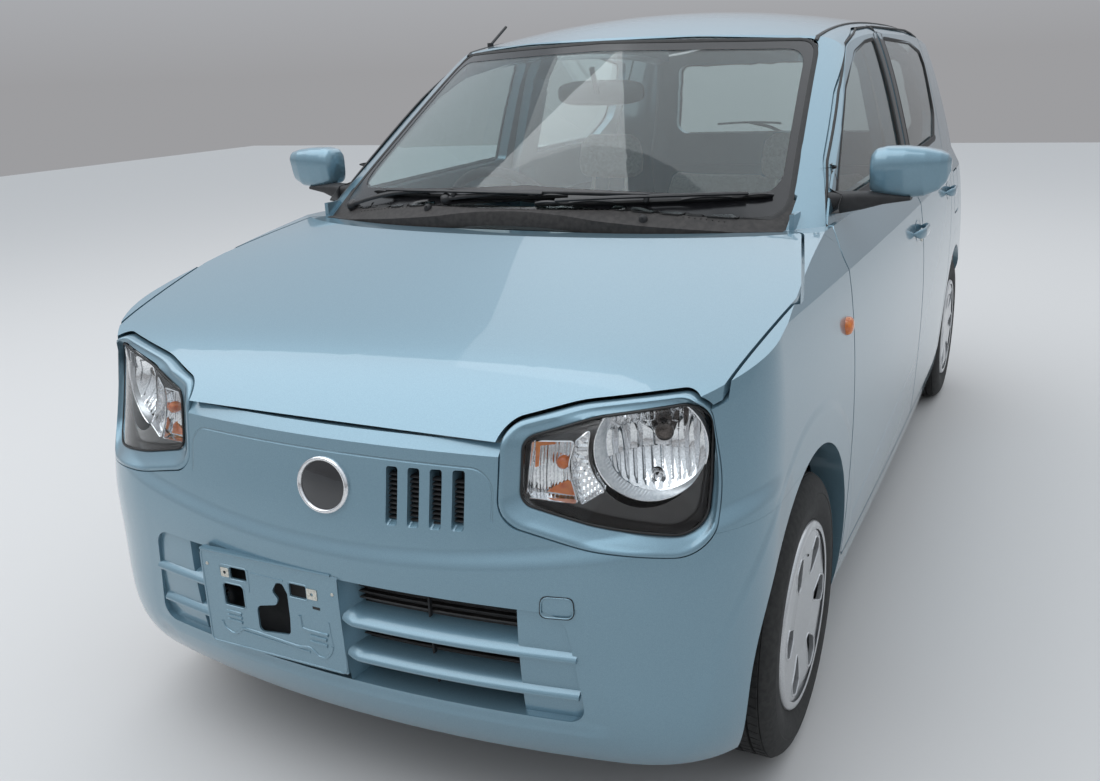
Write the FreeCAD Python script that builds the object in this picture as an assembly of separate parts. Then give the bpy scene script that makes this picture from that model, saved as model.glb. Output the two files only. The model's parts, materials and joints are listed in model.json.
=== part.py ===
import FreeCAD, Part
import math
import os

# Five-door kei car: a small hatchback with right-hand drive, parked on its wheels.
# Millimetres. +Z is up, the nose points to -Y and +X is the car's left side.
# The origin is on the ground at the middle of the car's length and width.

V = FreeCAD.Vector
os.makedirs("parts", exist_ok=True)

# Overall sizes and where the wheels stand
LENGTH = 3395.0
WIDTH = 1475.0
HEIGHT = 1475.0
WHEELBASE = 2460.0
TRACK = 1295.0
FRONT_AXLE_Y = -1140.0
REAR_AXLE_Y = FRONT_AXLE_Y + WHEELBASE
WHEEL_X = TRACK / 2
TYRE_RADIUS = 281.0
TYRE_HALF_WIDTH = 72.5
BEAD_RADIUS = 165.0
RIM_FLANGE_RADIUS = 177.0
BARREL_RADIUS = 150.0
STUB_RADIUS = 17.0
AXLE_Z = TYRE_RADIUS
RUNNING_GAP = 0.3
FRONT_ARCH = (-1150.0, 288.0, 340.0)
REAR_ARCH = (REAR_AXLE_Y, TYRE_RADIUS, 325.0)

# Walls and gaps
DOOR_WALL = 70.0
FRAME_WALL = 42.0
ROOF_WALL = 28.0
BONNET_SKIN = 20.0
DOOR_GAP = 6.0
DOOR_FLANGE = 12.0
LID_GAP = 6.0
SEAM = 0.3
GLASS_SET_BACK = 4.0
LENS_DEPTH = 15.0
SIDE_GLASS = 5.0
FRONT_GLASS = 8.0
FAR = 900.0

# Horizontal outlines of the lower body, from the sill to the shoulder crease
# columns: z, half width, nose y, tail y, nose sag, tail sag, front corner, rear corner
LOWER_RINGS = [
    (190, 712, -1650, 1655, 55, 40, 200, 130),
    (310, 728, -1686, 1684, 50, 36, 220, 130),
    (430, 734, -1692, 1693, 48, 34, 242, 130),
    (550, 737, -1696, 1697, 45, 32, 262, 132),
    (670, 736, -1678, 1690, 43, 32, 278, 134),
    (790, 729, -1664, 1680, 42, 32, 290, 135),
    (905, 714, -1648, 1670, 42, 32, 290, 135),
]
SHOULDER_RING = (990, 670, -1600, 1655, 42, 32, 280, 130)

# Horizontal outlines of the cabin above the shoulder, same columns
CABIN_RINGS = [
    (880, 700, -1165, 1672, 150, 45, 130, 130),
    (985, 679, -1015, 1660, 150, 45, 130, 130),
    (1090, 655, -862, 1632, 150, 45, 130, 130),
    (1195, 628, -706, 1592, 150, 45, 130, 130),
    (1300, 597, -548, 1545, 150, 45, 130, 130),
    (1405, 558, -388, 1488, 150, 45, 130, 130),
    (1510, 512, -226, 1415, 150, 45, 130, 130),
]

# Roof line: y, height at the centre, height at the edge of the crown
ROOF_LINE = [
    (-1600, 1080, 1040), (-1300, 1160, 1120), (-700, 1325, 1280), (-400, 1396, 1348),
    (-100, 1447, 1396), (250, 1471, 1418), (600, 1475, 1421), (950, 1465, 1415),
    (1300, 1437, 1391), (1750, 1360, 1318),
]
ROOF_CROWN_X = 500.0

# Bonnet line: y, height at the centre, height at x = 700
BONNET_LINE = [
    (-1760, 600, 575), (-1700, 690, 675), (-1660, 757, 745), (-1600, 806, 797),
    (-1520, 848, 838), (-1400, 890, 877), (-1200, 945, 924), (-1000, 998, 962),
    (-800, 1045, 990), (-500, 1110, 1060),
]


# Basic shapes: boxes by their limits, cylinders between two points, mirrored copies
def box(x0, x1, y0, y1, z0, z1):
    return Part.makeBox(x1 - x0, y1 - y0, z1 - z0, V(x0, y0, z0))


def cylinder(start, end, radius):
    axis = end.sub(start)
    return Part.makeCylinder(radius, axis.Length, start, axis)


def mirrored(shape):
    return shape.mirror(V(0, 0, 0), V(1, 0, 0))


def largest(shape):
    return max(shape.Solids, key=lambda s: s.Volume)


def rounded_box(x0, x1, y0, y1, z0, z1, radius):
    shape = box(x0, x1, y0, y1, z0, z1)
    return shape.makeFillet(radius, shape.Edges)


# Closed outline through corner points (a, b, radius), grown outward by grow
def rounded_outline(points, grow, place):
    count = len(points)
    area = 0.0
    for i in range(count):
        p = points[i]
        q = points[(i + 1) % count]
        area += p[0] * q[1] - q[0] * p[1]
    turn = 1.0 if area > 0 else -1.0
    sides = []
    for i in range(count):
        p = points[i]
        q = points[(i + 1) % count]
        run = math.hypot(q[0] - p[0], q[1] - p[1])
        da = (q[0] - p[0]) / run
        db = (q[1] - p[1]) / run
        sides.append((p[0] + db * turn * grow, p[1] - da * turn * grow, da, db))
    corners = []
    for i in range(count):
        a0, b0, da0, db0 = sides[i - 1]
        a1, b1, da1, db1 = sides[i]
        bend = da0 * db1 - db0 * da1
        t = ((a1 - a0) * db1 - (b1 - b0) * da1) / bend
        radius = points[i][2]
        if radius > 0:
            radius = max(radius + grow * turn * (1.0 if bend > 0 else -1.0), 0.5)
        corners.append((a0 + da0 * t, b0 + db0 * t, radius, sides[i - 1], sides[i], bend))
    ends = []
    arcs = []
    for a, b, radius, before, after, bend in corners:
        if radius <= 0:
            ends.append(((a, b), (a, b)))
            arcs.append(None)
            continue
        cosine = before[2] * after[2] + before[3] * after[3]
        angle = math.acos(max(-1.0, min(1.0, cosine)))
        back = radius * math.tan(angle / 2)
        start = (a - before[2] * back, b - before[3] * back)
        end = (a + after[2] * back, b + after[3] * back)
        side = 1.0 if bend > 0 else -1.0
        ca = start[0] - before[3] * side * radius
        cb = start[1] + before[2] * side * radius
        ma = a - ca
        mb = b - cb
        span = math.hypot(ma, mb)
        ends.append((start, end))
        arcs.append((ca + ma / span * radius, cb + mb / span * radius))
    edges = []
    for i in range(count):
        start, end = ends[i]
        if arcs[i] is not None:
            edges.append(Part.Arc(place(*start), place(*arcs[i]), place(*end)).toShape())
        following = ends[(i + 1) % count][0]
        if math.hypot(following[0] - end[0], following[1] - end[1]) > 0.001:
            edges.append(Part.makeLine(place(*end), place(*following)))
    return Part.Wire(edges)


# Prisms cut through the body: side outlines (y, z), front outlines (x, z), plan outlines (x, y)
def side_prism(points, x0, x1, grow=0.0):
    wire = rounded_outline(points, grow, lambda a, b: V(x0, a, b))
    return Part.Face(wire).extrude(V(x1 - x0, 0, 0))


def front_prism(points, y0, y1, grow=0.0):
    wire = rounded_outline(points, grow, lambda a, b: V(a, y0, b))
    return Part.Face(wire).extrude(V(0, y1 - y0, 0))


def plan_prism(points, z0, z1, grow=0.0):
    wire = rounded_outline(points, grow, lambda a, b: V(a, b, z0))
    return Part.Face(wire).extrude(V(0, 0, z1 - z0))


def both_sides(points):
    return points + [(-x, z, r) for x, z, r in reversed(points)]


# Solid turned about a line along X through (y, z), from a profile of (x, radius) points
def turned_x(profile, y, z):
    points = [V(x, y, z + r) for x, r in profile]
    face = Part.Face(Part.makePolygon(points + [points[0]]))
    return face.revolve(V(0, y, z), V(1, 0, 0), 360)


# Body surfaces
def bezier(start, end, start_way, end_way, fullness):
    bend = start_way.cross(end_way)
    gap = end.sub(start)
    t = gap.cross(end_way).dot(bend) / bend.dot(bend)
    meet = start.add(V(start_way.x * t, start_way.y * t, start_way.z * t))
    first = start.add(V(*[(m - s) * fullness for m, s in zip(meet, start)]))
    last = end.add(V(*[(m - e) * fullness for m, e in zip(meet, end)]))
    curve = Part.BezierCurve()
    curve.setPoles([start, first, last, end])
    return curve.toShape()


def ring(row, inset):
    z, half, nose, tail, nose_sag, tail_sag, front_corner, rear_corner = row
    half = half - inset
    nose = nose + inset
    tail = tail - inset
    front_corner = front_corner - inset * 0.8
    rear_corner = max(rear_corner - inset * 0.8, 30.0)
    bow = 16.0
    front_x = half - front_corner
    rear_x = half - rear_corner
    side_x = half - bow
    front_y = nose + nose_sag
    rear_y = tail - tail_sag
    side_front = front_y + front_corner * 0.95
    side_rear = rear_y - rear_corner * 0.95
    middle = (side_front + side_rear) / 2
    nose_turn = 2 * math.atan2(nose_sag, front_x)
    tail_turn = 2 * math.atan2(tail_sag, rear_x)
    side_turn = 2 * math.atan2(bow, (side_rear - side_front) / 2)
    edges = []
    for side in (1, -1):
        half_edges = [
            bezier(
                V(side * front_x, front_y, z), V(side * side_x, side_front, z),
                V(side * math.cos(nose_turn), math.sin(nose_turn), 0),
                V(-side * math.sin(side_turn), -math.cos(side_turn), 0), 0.6),
            Part.Arc(
                V(side * side_x, side_front, z), V(side * half, middle, z),
                V(side * side_x, side_rear, z)).toShape(),
            bezier(
                V(side * side_x, side_rear, z), V(side * rear_x, rear_y, z),
                V(-side * math.sin(side_turn), math.cos(side_turn), 0),
                V(side * math.cos(tail_turn), -math.sin(tail_turn), 0), 0.6),
        ]
        edges.append(half_edges)
    front = Part.Arc(V(-front_x, front_y, z), V(0, nose, z), V(front_x, front_y, z)).toShape()
    rear = Part.Arc(V(rear_x, rear_y, z), V(0, tail, z), V(-rear_x, rear_y, z)).toShape()
    left, right = edges
    return Part.Wire([front] + left + [rear] + [right[2], right[1], right[0]])


# Line of heights resampled at even steps, so that the surface stays smooth
def even_line(rows, step):
    curve = Part.BSplineCurve()
    curve.interpolate(Points=[V(*row) for row in rows], Parameters=[float(row[0]) for row in rows])
    first = rows[0][0]
    last = rows[-1][0]
    count = int(round((last - first) / step))
    out = []
    for i in range(count + 1):
        y = first + (last - first) * i / count
        point = curve.value(y)
        out.append((y, point.y, point.z))
    return out


def crown_drop(x, centre, edge, edge_x):
    drop = centre - edge
    radius = (edge_x ** 2 + drop ** 2) / (2 * drop)
    return radius - math.sqrt(radius * radius - x * x)


# Everything above the bonnet surface, lowered by depth
def above_bonnet(depth):
    wires = []
    for y, centre, edge in even_line(BONNET_LINE, 95):
        low = centre - crown_drop(FAR, centre, edge, 700.0) - depth
        left = V(FAR, y, low)
        right = V(-FAR, y, low)
        crown = Part.Arc(right, V(0, y, centre - depth), left).toShape()
        top = [V(FAR, y, 1400), V(-FAR, y, 1400)]
        sides = [Part.makeLine(left, top[0]), Part.makeLine(top[0], top[1]), Part.makeLine(top[1], right)]
        wires.append(Part.Wire([crown] + sides))
    return Part.makeLoft(wires, True, False)


# Everything below the roof surface and inside its rounded edges
def below_roof(depth):
    wires = []
    for y, centre, edge in even_line(ROOF_LINE, 380):
        turn = math.asin(ROOF_CROWN_X / ((ROOF_CROWN_X ** 2 + (centre - edge) ** 2) / (2 * (centre - edge))))
        top = V(ROOF_CROWN_X - depth * 0.3, y, edge - depth)
        down = V(0.30, 0, -1)
        low = V(ROOF_CROWN_X + 93 - depth * 0.8, y, edge - 80 - depth * 0.4)
        foot = V(low.x + (low.z - 100) * 0.30, y, 100)
        left = bezier(top, low, V(math.cos(turn), 0, -math.sin(turn)), down, 0.62)
        right = bezier(
            V(-low.x, y, low.z), V(-top.x, y, top.z), V(-0.30, 0, -1),
            V(-math.cos(turn), 0, -math.sin(turn)), 0.62)
        crown = Part.Arc(V(-top.x, y, top.z), V(0, y, centre - depth), top).toShape()
        mirror_foot = V(-foot.x, y, foot.z)
        wires.append(Part.Wire([
            crown, left, Part.makeLine(low, foot), Part.makeLine(foot, mirror_foot),
            Part.makeLine(mirror_foot, V(-low.x, y, low.z)), right]))
    return Part.makeLoft(wires, True, False)


def cabin_form(inset):
    return Part.makeLoft([ring(row, inset) for row in CABIN_RINGS], True, False)


def lower_form(inset):
    return Part.makeLoft([ring(row, inset) for row in LOWER_RINGS], True, False)


def tub_form(inset, depth):
    rings = [ring(LOWER_RINGS[-1], inset), ring(SHOULDER_RING, inset)]
    shoulder = Part.makeLoft(rings, True, True)
    return lower_form(inset).fuse(shoulder).cut(above_bonnet(depth))


tub = tub_form(0, 0)
cabin = cabin_form(0).common(below_roof(0))
outer = tub.fuse(cabin)
inner_cabin = cabin_form(FRAME_WALL).common(below_roof(ROOF_WALL))
inner = tub_form(DOOR_WALL, BONNET_SKIN).fuse(inner_cabin)
wall = outer.cut(inner)
left_wall = wall.common(box(0, FAR, -1800, 1800, 0, 1600))

# Outlines seen from the side: y, z, corner radius
FRONT_DOOR = [
    (-795, 250, 25), (262, 250, 15), (260, 1000, 900), (258, 1403, 15), (60, 1396, 300), (-175, 1356, 200),
    (-380, 1249, 400), (-609, 1106, 400), (-765, 985, 30), (-795, 930, 60),
]
FRONT_WINDOW = [
    (-672, 1018, 15), (180, 1034, 20), (192, 1372, 18), (60, 1364, 200), (-110, 1338, 300),
    (-330, 1256, 400), (-461, 1176, 400),
]
REAR_DOOR = [
    (270, 250, 15), (1010, 250, 10), (1045, 620, 60), (1105, 800, 200), (1130, 1000, 200),
    (1142, 1290, 60), (1125, 1376, 40), (900, 1400, 300), (270, 1405, 15),
]
REAR_WINDOW = [
    (338, 1036, 20), (930, 1044, 80), (1062, 1120, 40), (1098, 1285, 40), (1060, 1330, 40),
    (843, 1360, 300), (338, 1374, 18),
]
FENDER_SIDE = [
    (-1800, 622, 0), (-1140, 622, 0), (-1140, 300, 0), (-801, 300, 0), (-801, 962, 0),
    (-960, 1035, 0), (-1800, 1035, 0),
]
NOSE_SIDE = [
    (-1900, 100, 0), (-1140, 100, 0), (-1140, 300, 0), (-801, 300, 0), (-801, 962, 0),
    (-960, 1035, 0), (-1900, 1035, 0),
]

# Outlines seen from the front: x, z, corner radius
WINDSCREEN_HALF = [(240, 1034, 700), (582, 1006, 30), (507, 1374, 30), (240, 1390, 900)]
BEZEL = [
    (330, 790, 35), (440, 820, 300), (634, 846, 45), (661, 700, 400), (656, 588, 48),
    (480, 604, 400), (327, 636, 48),
]
LENS = [
    (362, 772, 25), (470, 806, 200), (637, 832, 40), (642, 700, 300), (641, 616, 38),
    (480, 640, 300), (360, 666, 25),
]
TAILGATE_HALF = [(598, 592, 60), (614, 930, 200), (515, 1345, 40), (300, 1378, 600)]
TAILGATE_WINDOW_HALF = [(508, 1020, 45), (452, 1310, 40)]
TAIL_LAMP = [(470, 458, 25), (700, 450, 10), (700, 586, 10), (470, 578, 25)]
BONNET_PLAN_HALF = [(628, -1800, 0), (645, -1541, 400), (692, -1165, 150), (618, -853, 30), (300, -960, 900)]

# Doors: panels of the side wall, with their windows cut, and panes set just inside the skin
def arch_space(arch, grow, x0=400.0, x1=FAR):
    y, z, radius = arch
    return cylinder(V(x0, y, z), V(x1, y, z), radius + grow)


door_pane_band = cabin_form(GLASS_SET_BACK).cut(cabin_form(GLASS_SET_BACK + SIDE_GLASS))
door_pane_band = door_pane_band.common(box(400, FAR, -900, 1300, 990, 1390))
under_skin = cabin_form(DOOR_FLANGE).common(below_roof(DOOR_FLANGE)).fuse(tub_form(DOOR_FLANGE, DOOR_FLANGE))
doors = {}
for name, outline, window in (("front", FRONT_DOOR, FRONT_WINDOW), ("rear", REAR_DOOR, REAR_WINDOW)):
    edge = side_prism(outline, 515, FAR)
    core = edge.copy()
    core.translate(V(0, -DOOR_FLANGE, 0))
    behind_flange = edge.cut(core).common(under_skin)
    panel = left_wall.common(edge).cut([behind_flange, side_prism(window, 400, FAR)])
    if name == "rear":
        panel = panel.cut(arch_space(REAR_ARCH, 41))
    doors["door_" + name + "_left"] = largest(panel)
    pane = door_pane_band.common(side_prism(window, 400, FAR, -SEAM))
    doors["glass_" + name + "_left"] = largest(pane)

# Tailgate with its window, hinged at the roof
tailgate_zone = wall.common(box(-FAR, FAR, 1200, 1800, 500, 1500))
TAILGATE = both_sides(TAILGATE_HALF)
TAILGATE_WINDOW = both_sides(TAILGATE_WINDOW_HALF)
tailgate = largest(tailgate_zone.common(front_prism(TAILGATE, 1200, 1800)))
tailgate = tailgate.cut(front_prism(TAILGATE_WINDOW, 1200, 1800))
rear_pane_band = cabin_form(GLASS_SET_BACK).cut(cabin_form(GLASS_SET_BACK + 6))
rear_pane_band = rear_pane_band.common(box(-FAR, FAR, 1350, 1800, 980, 1360))
tailgate_glass = largest(rear_pane_band.common(front_prism(TAILGATE_WINDOW, 1200, 1800, -SEAM)))

# Windscreen
WINDSCREEN = both_sides(WINDSCREEN_HALF)
screen_band = cabin_form(GLASS_SET_BACK).cut(cabin_form(GLASS_SET_BACK + FRONT_GLASS))
screen_band = screen_band.common(below_roof(GLASS_SET_BACK))
windscreen = largest(screen_band.common(front_prism(WINDSCREEN, -1200, 0, -SEAM)))
windscreen_hole = front_prism(WINDSCREEN, -1200, 0)

# Roof panel between the drip mouldings
roof = wall.common(box(-ROOF_CROWN_X, ROOF_CROWN_X, -600, 1700, 1300, 1500))
roof = roof.cut(windscreen_hole).cut(front_prism(TAILGATE, 1200, 1800, LID_GAP))
roof = largest(roof)

# Bonnet: a skin under the bonnet surface, ending above the bumper and the headlamps
BONNET_PLAN = both_sides(BONNET_PLAN_HALF)
BONNET_EDGE_Z = 768.0
bonnet = tub.common(above_bonnet(BONNET_SKIN)).common(plan_prism(BONNET_PLAN, 500, 1200))
bonnet = bonnet.cut(box(-FAR, FAR, -1800, -1500, 500, BONNET_EDGE_Z))
for shape in (front_prism(BEZEL, -1800, -1300, LID_GAP),):
    bonnet = bonnet.cut(shape).cut(mirrored(shape))
bonnet = largest(bonnet)
bonnet_clear = above_bonnet(BONNET_SKIN + LID_GAP).common(plan_prism(BONNET_PLAN, 500, 1200, LID_GAP))

# Front wings
bezel_hole = front_prism(BEZEL, -1800, -1300, SEAM)
front_arch_cut = arch_space(FRONT_ARCH, 0)
rear_arch_cut = arch_space(REAR_ARCH, 0)
fender = left_wall.common(side_prism(FENDER_SIDE, 500, FAR))
fender = fender.cut(bonnet_clear).cut(bezel_hole).cut(front_arch_cut)
fender = fender.cut(windscreen_hole).cut(box(0, 598.5, -1100, -700, 800, 1100))
fender = largest(fender.cut(box(0, 600 + SEAM, -843, -784, 499, 1023)))

# Front bumper with its lower mouth, the plate panel's place and four upright slots
BUMPER_TOP = 622.0 - SEAM
LIP_Z = 744.0
MOUTH = [(-480, 285, 30), (470, 285, 30), (440, 492, 40), (-450, 492, 40)]
bumper_zone = wall.common(box(-FAR, FAR, -1800, -1140, 0, 762))
bumper = bumper_zone.cut(box(-FAR, FAR, -1800, -1140, BUMPER_TOP, 800))
upper = bumper_zone.common(box(-450, 450, -1800, -1400, BUMPER_TOP - 1, 762))
lip_outline = tub.slice(V(0, 0, 1), LIP_Z)[0]
lip = Part.Face(lip_outline).extrude(V(0, 22, 22))
bumper = bumper.fuse(upper.common(box(-FAR, FAR, -1800, -1400, 0, LIP_Z))).fuse(upper.common(lip))
bumper = bumper.cut(front_prism(MOUTH, -1800, -1500))
for shape in (bezel_hole, front_arch_cut):
    bumper = bumper.cut(shape).cut(mirrored(shape))
SLOT_X = [138.0, 179.0, 220.0, 261.0]
slots = [[(x - 11, 602, 5), (x + 11, 602, 5), (x + 11, 694, 5), (x - 11, 694, 5)] for x in SLOT_X]


def rising_slot(outline, grow):
    face = rounded_outline(outline, grow, lambda a, b: V(a, -1765, b - 32))
    return Part.Face(face).extrude(V(0, 250, 125))


for slot in slots:
    bumper = bumper.cut(rising_slot(slot, 0))
bumper = largest(bumper)

# Bars across the mouth, the plate panel, and the dark mesh behind
mouth_band = wall.common(box(-FAR, FAR, -1800, -1500, 250, 560))
bars = []
for low, high in ((340, 368), (415, 443)):
    outline = [(-500, low, 0), (500, low, 0), (500, high, 0), (-500, high, 0)]
    bars.append(front_prism(outline, -1800, -1500))
mouth_open = front_prism(MOUTH, -1800, -1500, -SEAM)
mouth_wall = mouth_band.common(mouth_open)
mouth_skin = mouth_wall.common(box(-FAR, FAR, -1800, -1640, 0, 800))
PANEL_X = (-300.0, 22.0)
PANEL_Z = (300.0, 497.0)
PANEL_Y = (-1695.0, -1683.0)
PANEL_SHEET = 4.0
plate_panel = rounded_box(PANEL_X[0], PANEL_X[1], PANEL_Y[0], PANEL_Y[1], PANEL_Z[0], PANEL_Z[1], 3)
plate_space = box(
    PANEL_X[0] - SEAM, PANEL_X[1] + SEAM, PANEL_Y[0] - 50, PANEL_Y[1] + SEAM, PANEL_Z[0] - SEAM, PANEL_Z[1] + SEAM)
plate_panel = plate_panel.cut(box(
    PANEL_X[0] + PANEL_SHEET, PANEL_X[1] - PANEL_SHEET, PANEL_Y[0] + PANEL_SHEET, PANEL_Y[1] + 10,
    PANEL_Z[0] + PANEL_SHEET, PANEL_Z[1] - PANEL_SHEET))
PLATE_HOLE_PITCH = 210.0
PLATE_HOLE_Z = 456.0
PLATE_CENTRE_X = (PANEL_X[0] + PANEL_X[1]) / 2
for side in (-1, 1):
    x = PLATE_CENTRE_X + side * PLATE_HOLE_PITCH / 2
    plate_panel = plate_panel.cut(cylinder(V(x, -1750, PLATE_HOLE_Z), V(x, -1600, PLATE_HOLE_Z), 3.3))
panel_windows = [
    [(-231, 446, 3), (-192, 446, 3), (-192, 469, 3), (-231, 469, 3)],
    [(-252, 388, 5), (-204, 388, 5), (-204, 433, 8), (-252, 433, 8)],
    [(-92, 437, 3), (-54, 437, 3), (-54, 463, 3), (-92, 463, 3)],
    [(-175, 347, 10), (-101, 355, 10), (-98, 390, 20), (-98, 440, 12), (-108, 459, 8), (-122, 457, 4),
     (-134, 438, 8), (-122, 424, 5), (-127, 411, 10), (-175, 400, 14)],
]
for window in panel_windows:
    plate_panel = plate_panel.cut(front_prism(window, -1720, -1660))
slats = mouth_skin.common(bars[0]).fuse(mouth_skin.common(bars[1])).cut(plate_space)
bumper = largest(bumper.cut(plate_space))
mesh_layer = lower_form(56).cut(lower_form(62))
mesh = largest(mesh_layer.common(mouth_open).common(box(-FAR, FAR, -1800, -1500, 0, 800)))
mesh_parts = [mesh]
for slot in slots:
    mesh_parts.append(largest(mesh_layer.common(rising_slot(slot, -SEAM))))
mesh = Part.makeCompound(mesh_parts)

# Headlamps: painted surround, clear lens and the dish behind it
bezel_block = left_wall.common(box(300, FAR, -1800, -1300, 560, 860))
bezel = bezel_block.common(front_prism(BEZEL, -1800, -1300)).cut(front_prism(LENS, -1800, -1300))
bezel = largest(bezel.cut(bonnet_clear))
lens_band = lower_form(LENS_DEPTH).cut(lower_form(LENS_DEPTH + 4))
lens = largest(lens_band.common(front_prism(LENS, -1800, -1400, -SEAM)))
lens = largest(lens.common(box(300, FAR, -1800, -1400, 500, 900)))
dish = lower_form(LENS_DEPTH + 4.5).common(front_prism(LENS, -1800, -1450, -SEAM))
dish = dish.common(box(300, FAR, -1800, -1400, 500, 900))
dish = largest(dish.cut(front_prism(LENS, -1800, -1456, -6)))

# Cowl between the bonnet and the windscreen
BONNET_HINGE = (-850.0, 1000.0)
cowl = wall.common(box(-581.5, 581.5, -1120, -740, 900, 1060))
cowl = cowl.common(cylinder(V(-600, *BONNET_HINGE), V(600, *BONNET_HINGE), 104))
cowl = largest(cowl.cut(bonnet_clear).cut(front_prism(WINDSCREEN, -1200, 0, SEAM)))

# Side frame: sill, pillars, roof rail and rear quarter as one piece
side_frame = left_wall.common(box(500, FAR, -1150, 1800, 100, 1500))
rear_door_space = side_prism(REAR_DOOR, 505, FAR, DOOR_GAP).cut(arch_space(REAR_ARCH, 35))
side_frame = side_frame.cut(side_prism(FRONT_DOOR, 505, FAR, DOOR_GAP)).cut(rear_door_space)
side_frame = side_frame.cut(side_prism(NOSE_SIDE, 450, FAR, SEAM))
side_frame = side_frame.cut(windscreen_hole).cut(front_arch_cut).cut(rear_arch_cut)
side_frame = side_frame.cut(front_prism(TAILGATE, 1200, 1800, LID_GAP)).cut(bonnet_clear)
side_frame = side_frame.cut(box(0, FAR, 1320, 1800, 0, 598 + SEAM))
side_frame = side_frame.cut(box(0, 581.8, -1150, -740, 900, 1060))
rail_layer = below_roof(ROOF_WALL + SEAM).cut(below_roof(62))
B_PILLAR = [
    (590, 240, 0), (636, 240, 0), (636, 860, 0), (626, 935, 0), (619, 1000, 0),
    (574, 1200, 0), (543, 1310, 0), (509, 1372, 0), (475, 1372, 0), (520, 1290, 0), (590, 1000, 0),
]
behind_doors = lower_form(DOOR_WALL + SEAM)
inner_parts = [
    box(590, 636, -789, 985, 200, 330),
    behind_doors.common(box(620, 700, -770, -740, 380, 450)),
    behind_doors.common(box(620, 700, -770, -740, 740, 810)),
    behind_doors.common(box(620, 700, 290, 318, 380, 450)),
    behind_doors.common(box(620, 700, 290, 318, 740, 810)),
    behind_doors.common(box(620, 700, 212, 240, 640, 700)),
    box(590, 690, -789, 960, 196, 243),
    box(590, 632, -789, -730, 240, 930),
    box(590, 600, -842, -785, 500, 1022),
    box(590, 600, -860, -842, 500, 930),
    front_prism(B_PILLAR, 205, 325),
    rail_layer.common(box(455, 509, -240, 1330, 1250, 1450)),
    below_roof(20).cut(below_roof(62)).common(box(500.2, 509, -240, 1330, 1250, 1450)),
]
side_frame = largest(side_frame.fuse(inner_parts))

# Rear bumper and its low lamps
rear_bumper = wall.common(box(-FAR, FAR, 1320, 1800, 0, 598))
rear_bumper = rear_bumper.cut(front_prism(TAILGATE, 1200, 1800, LID_GAP))
rear_bumper = rear_bumper.cut(box(-FAR, FAR, 1300, 1800, 0, 245))
lamp_place = front_prism(TAIL_LAMP, 1500, 1800)
lamp_hole = front_prism(TAIL_LAMP, 1500, 1800, SEAM)
rear_lamp = largest(left_wall.common(lamp_place).cut(rear_arch_cut))
for shape in (rear_arch_cut, lamp_hole):
    rear_bumper = rear_bumper.cut(shape).cut(mirrored(shape))
rear_bumper = largest(rear_bumper)

# Fuel lid in the left rear quarter
FUEL_LID = [(1235, 745, 22), (1385, 745, 22), (1385, 895, 22), (1235, 895, 22)]
lid_skin = lower_form(0).cut(lower_form(14))
fuel_lid = largest(lid_skin.common(side_prism(FUEL_LID, 600, FAR)))
lid_recess = side_prism(FUEL_LID, 600, FAR, LID_GAP).cut(lower_form(14 + SEAM))
left_frame = side_frame.cut(lid_recess).cut(side_prism(FUEL_LID, 675, FAR, -12))

# Floor, with the rear part stepped up over the axle and the tank
floor_front = box(-589.7, 589.7, -801.5, 505, 236, 246)
floor_step = box(-589.7, 589.7, 495, 505, 236, 350)
floor_rear = box(-589.7, 589.7, 495, 985, 340, 350)
luggage_floor = box(-480, 480, 985, 1585, 340, 350)
floor_pan = floor_front.fuse([floor_step, floor_rear, luggage_floor])
tunnel = box(-110, 110, -790, 480, 246, 330).cut(box(-100, 100, -802, 480, 200, 320))
tunnel_hole = box(-100, 100, -802, 470, 230, 250)
floor_pan = floor_pan.cut(tunnel_hole).fuse(tunnel)
for side in (-1, 1):
    x0 = min(side * 330, side * 390)
    floor_pan = floor_pan.fuse(box(x0, x0 + 60, -780, 480, 196, 236))
    floor_pan = floor_pan.fuse(box(x0, x0 + 60, 1200, 1575, 290, 340))
rear_panel = box(-430, 430, 1575, 1585, 255, 580)
striker = behind_doors.common(box(-25, 25, 1575, 1700, 560, 640))
floor_pan = floor_pan.fuse([rear_panel, striker])

# Front structure: bulkhead, rails, lamp cross member and strut towers
front_frame = box(-589.7, 589.7, -812, -801.7, 240, 930)
for side in (-1, 1):
    rail_x = min(side * 330, side * 385)
    tower_x = min(side * 385, side * 399)
    top_x = min(side * 385, side * 585)
    front_frame = front_frame.fuse(box(rail_x, rail_x + 55, -1550, -812, 360, 450))
    front_frame = front_frame.fuse(box(tower_x, tower_x + 14, -1230, -1050, 400, 815))
    front_frame = front_frame.fuse(box(top_x, top_x + 200, -1230, -1050, 803, 815))
support = box(-400, 400, -1550, -1538, 240, 600).fuse(box(-330, 330, -1550, -1538, 590, 735))
front_frame = front_frame.fuse(support.cut(box(-290, 290, -1560, -1530, 300, 700)))
for x in (-250, 250):
    stop = box(x - 10, x + 10, -1550, -1538, 730, 850).cut(above_bonnet(BONNET_SKIN + SEAM))
    front_frame = front_frame.fuse(stop)

# Wheel house linings
def wheel_house(arch, radius, x0, x1, low):
    y, z, _ = arch
    shell = cylinder(V(x0, y, z), V(x1, y, z), radius + 4)
    shell = shell.cut(cylinder(V(x0 + 4, y, z), V(x1 + 10, y, z), radius))
    return shell.cut(box(x0 - 50, x1 + 50, y - 500, y + 500, -200, low))


# Steering axis through the lower ball joint and the strut's top
BALL_JOINT = V(590, FRONT_AXLE_Y, 175)
STRUT_TOP = V(490, FRONT_AXLE_Y, 800)
king = STRUT_TOP.sub(BALL_JOINT)
king.normalize()


def on_king(height):
    t = (height - BALL_JOINT.z) / king.z
    return V(BALL_JOINT.x + king.x * t, FRONT_AXLE_Y, height)


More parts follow.
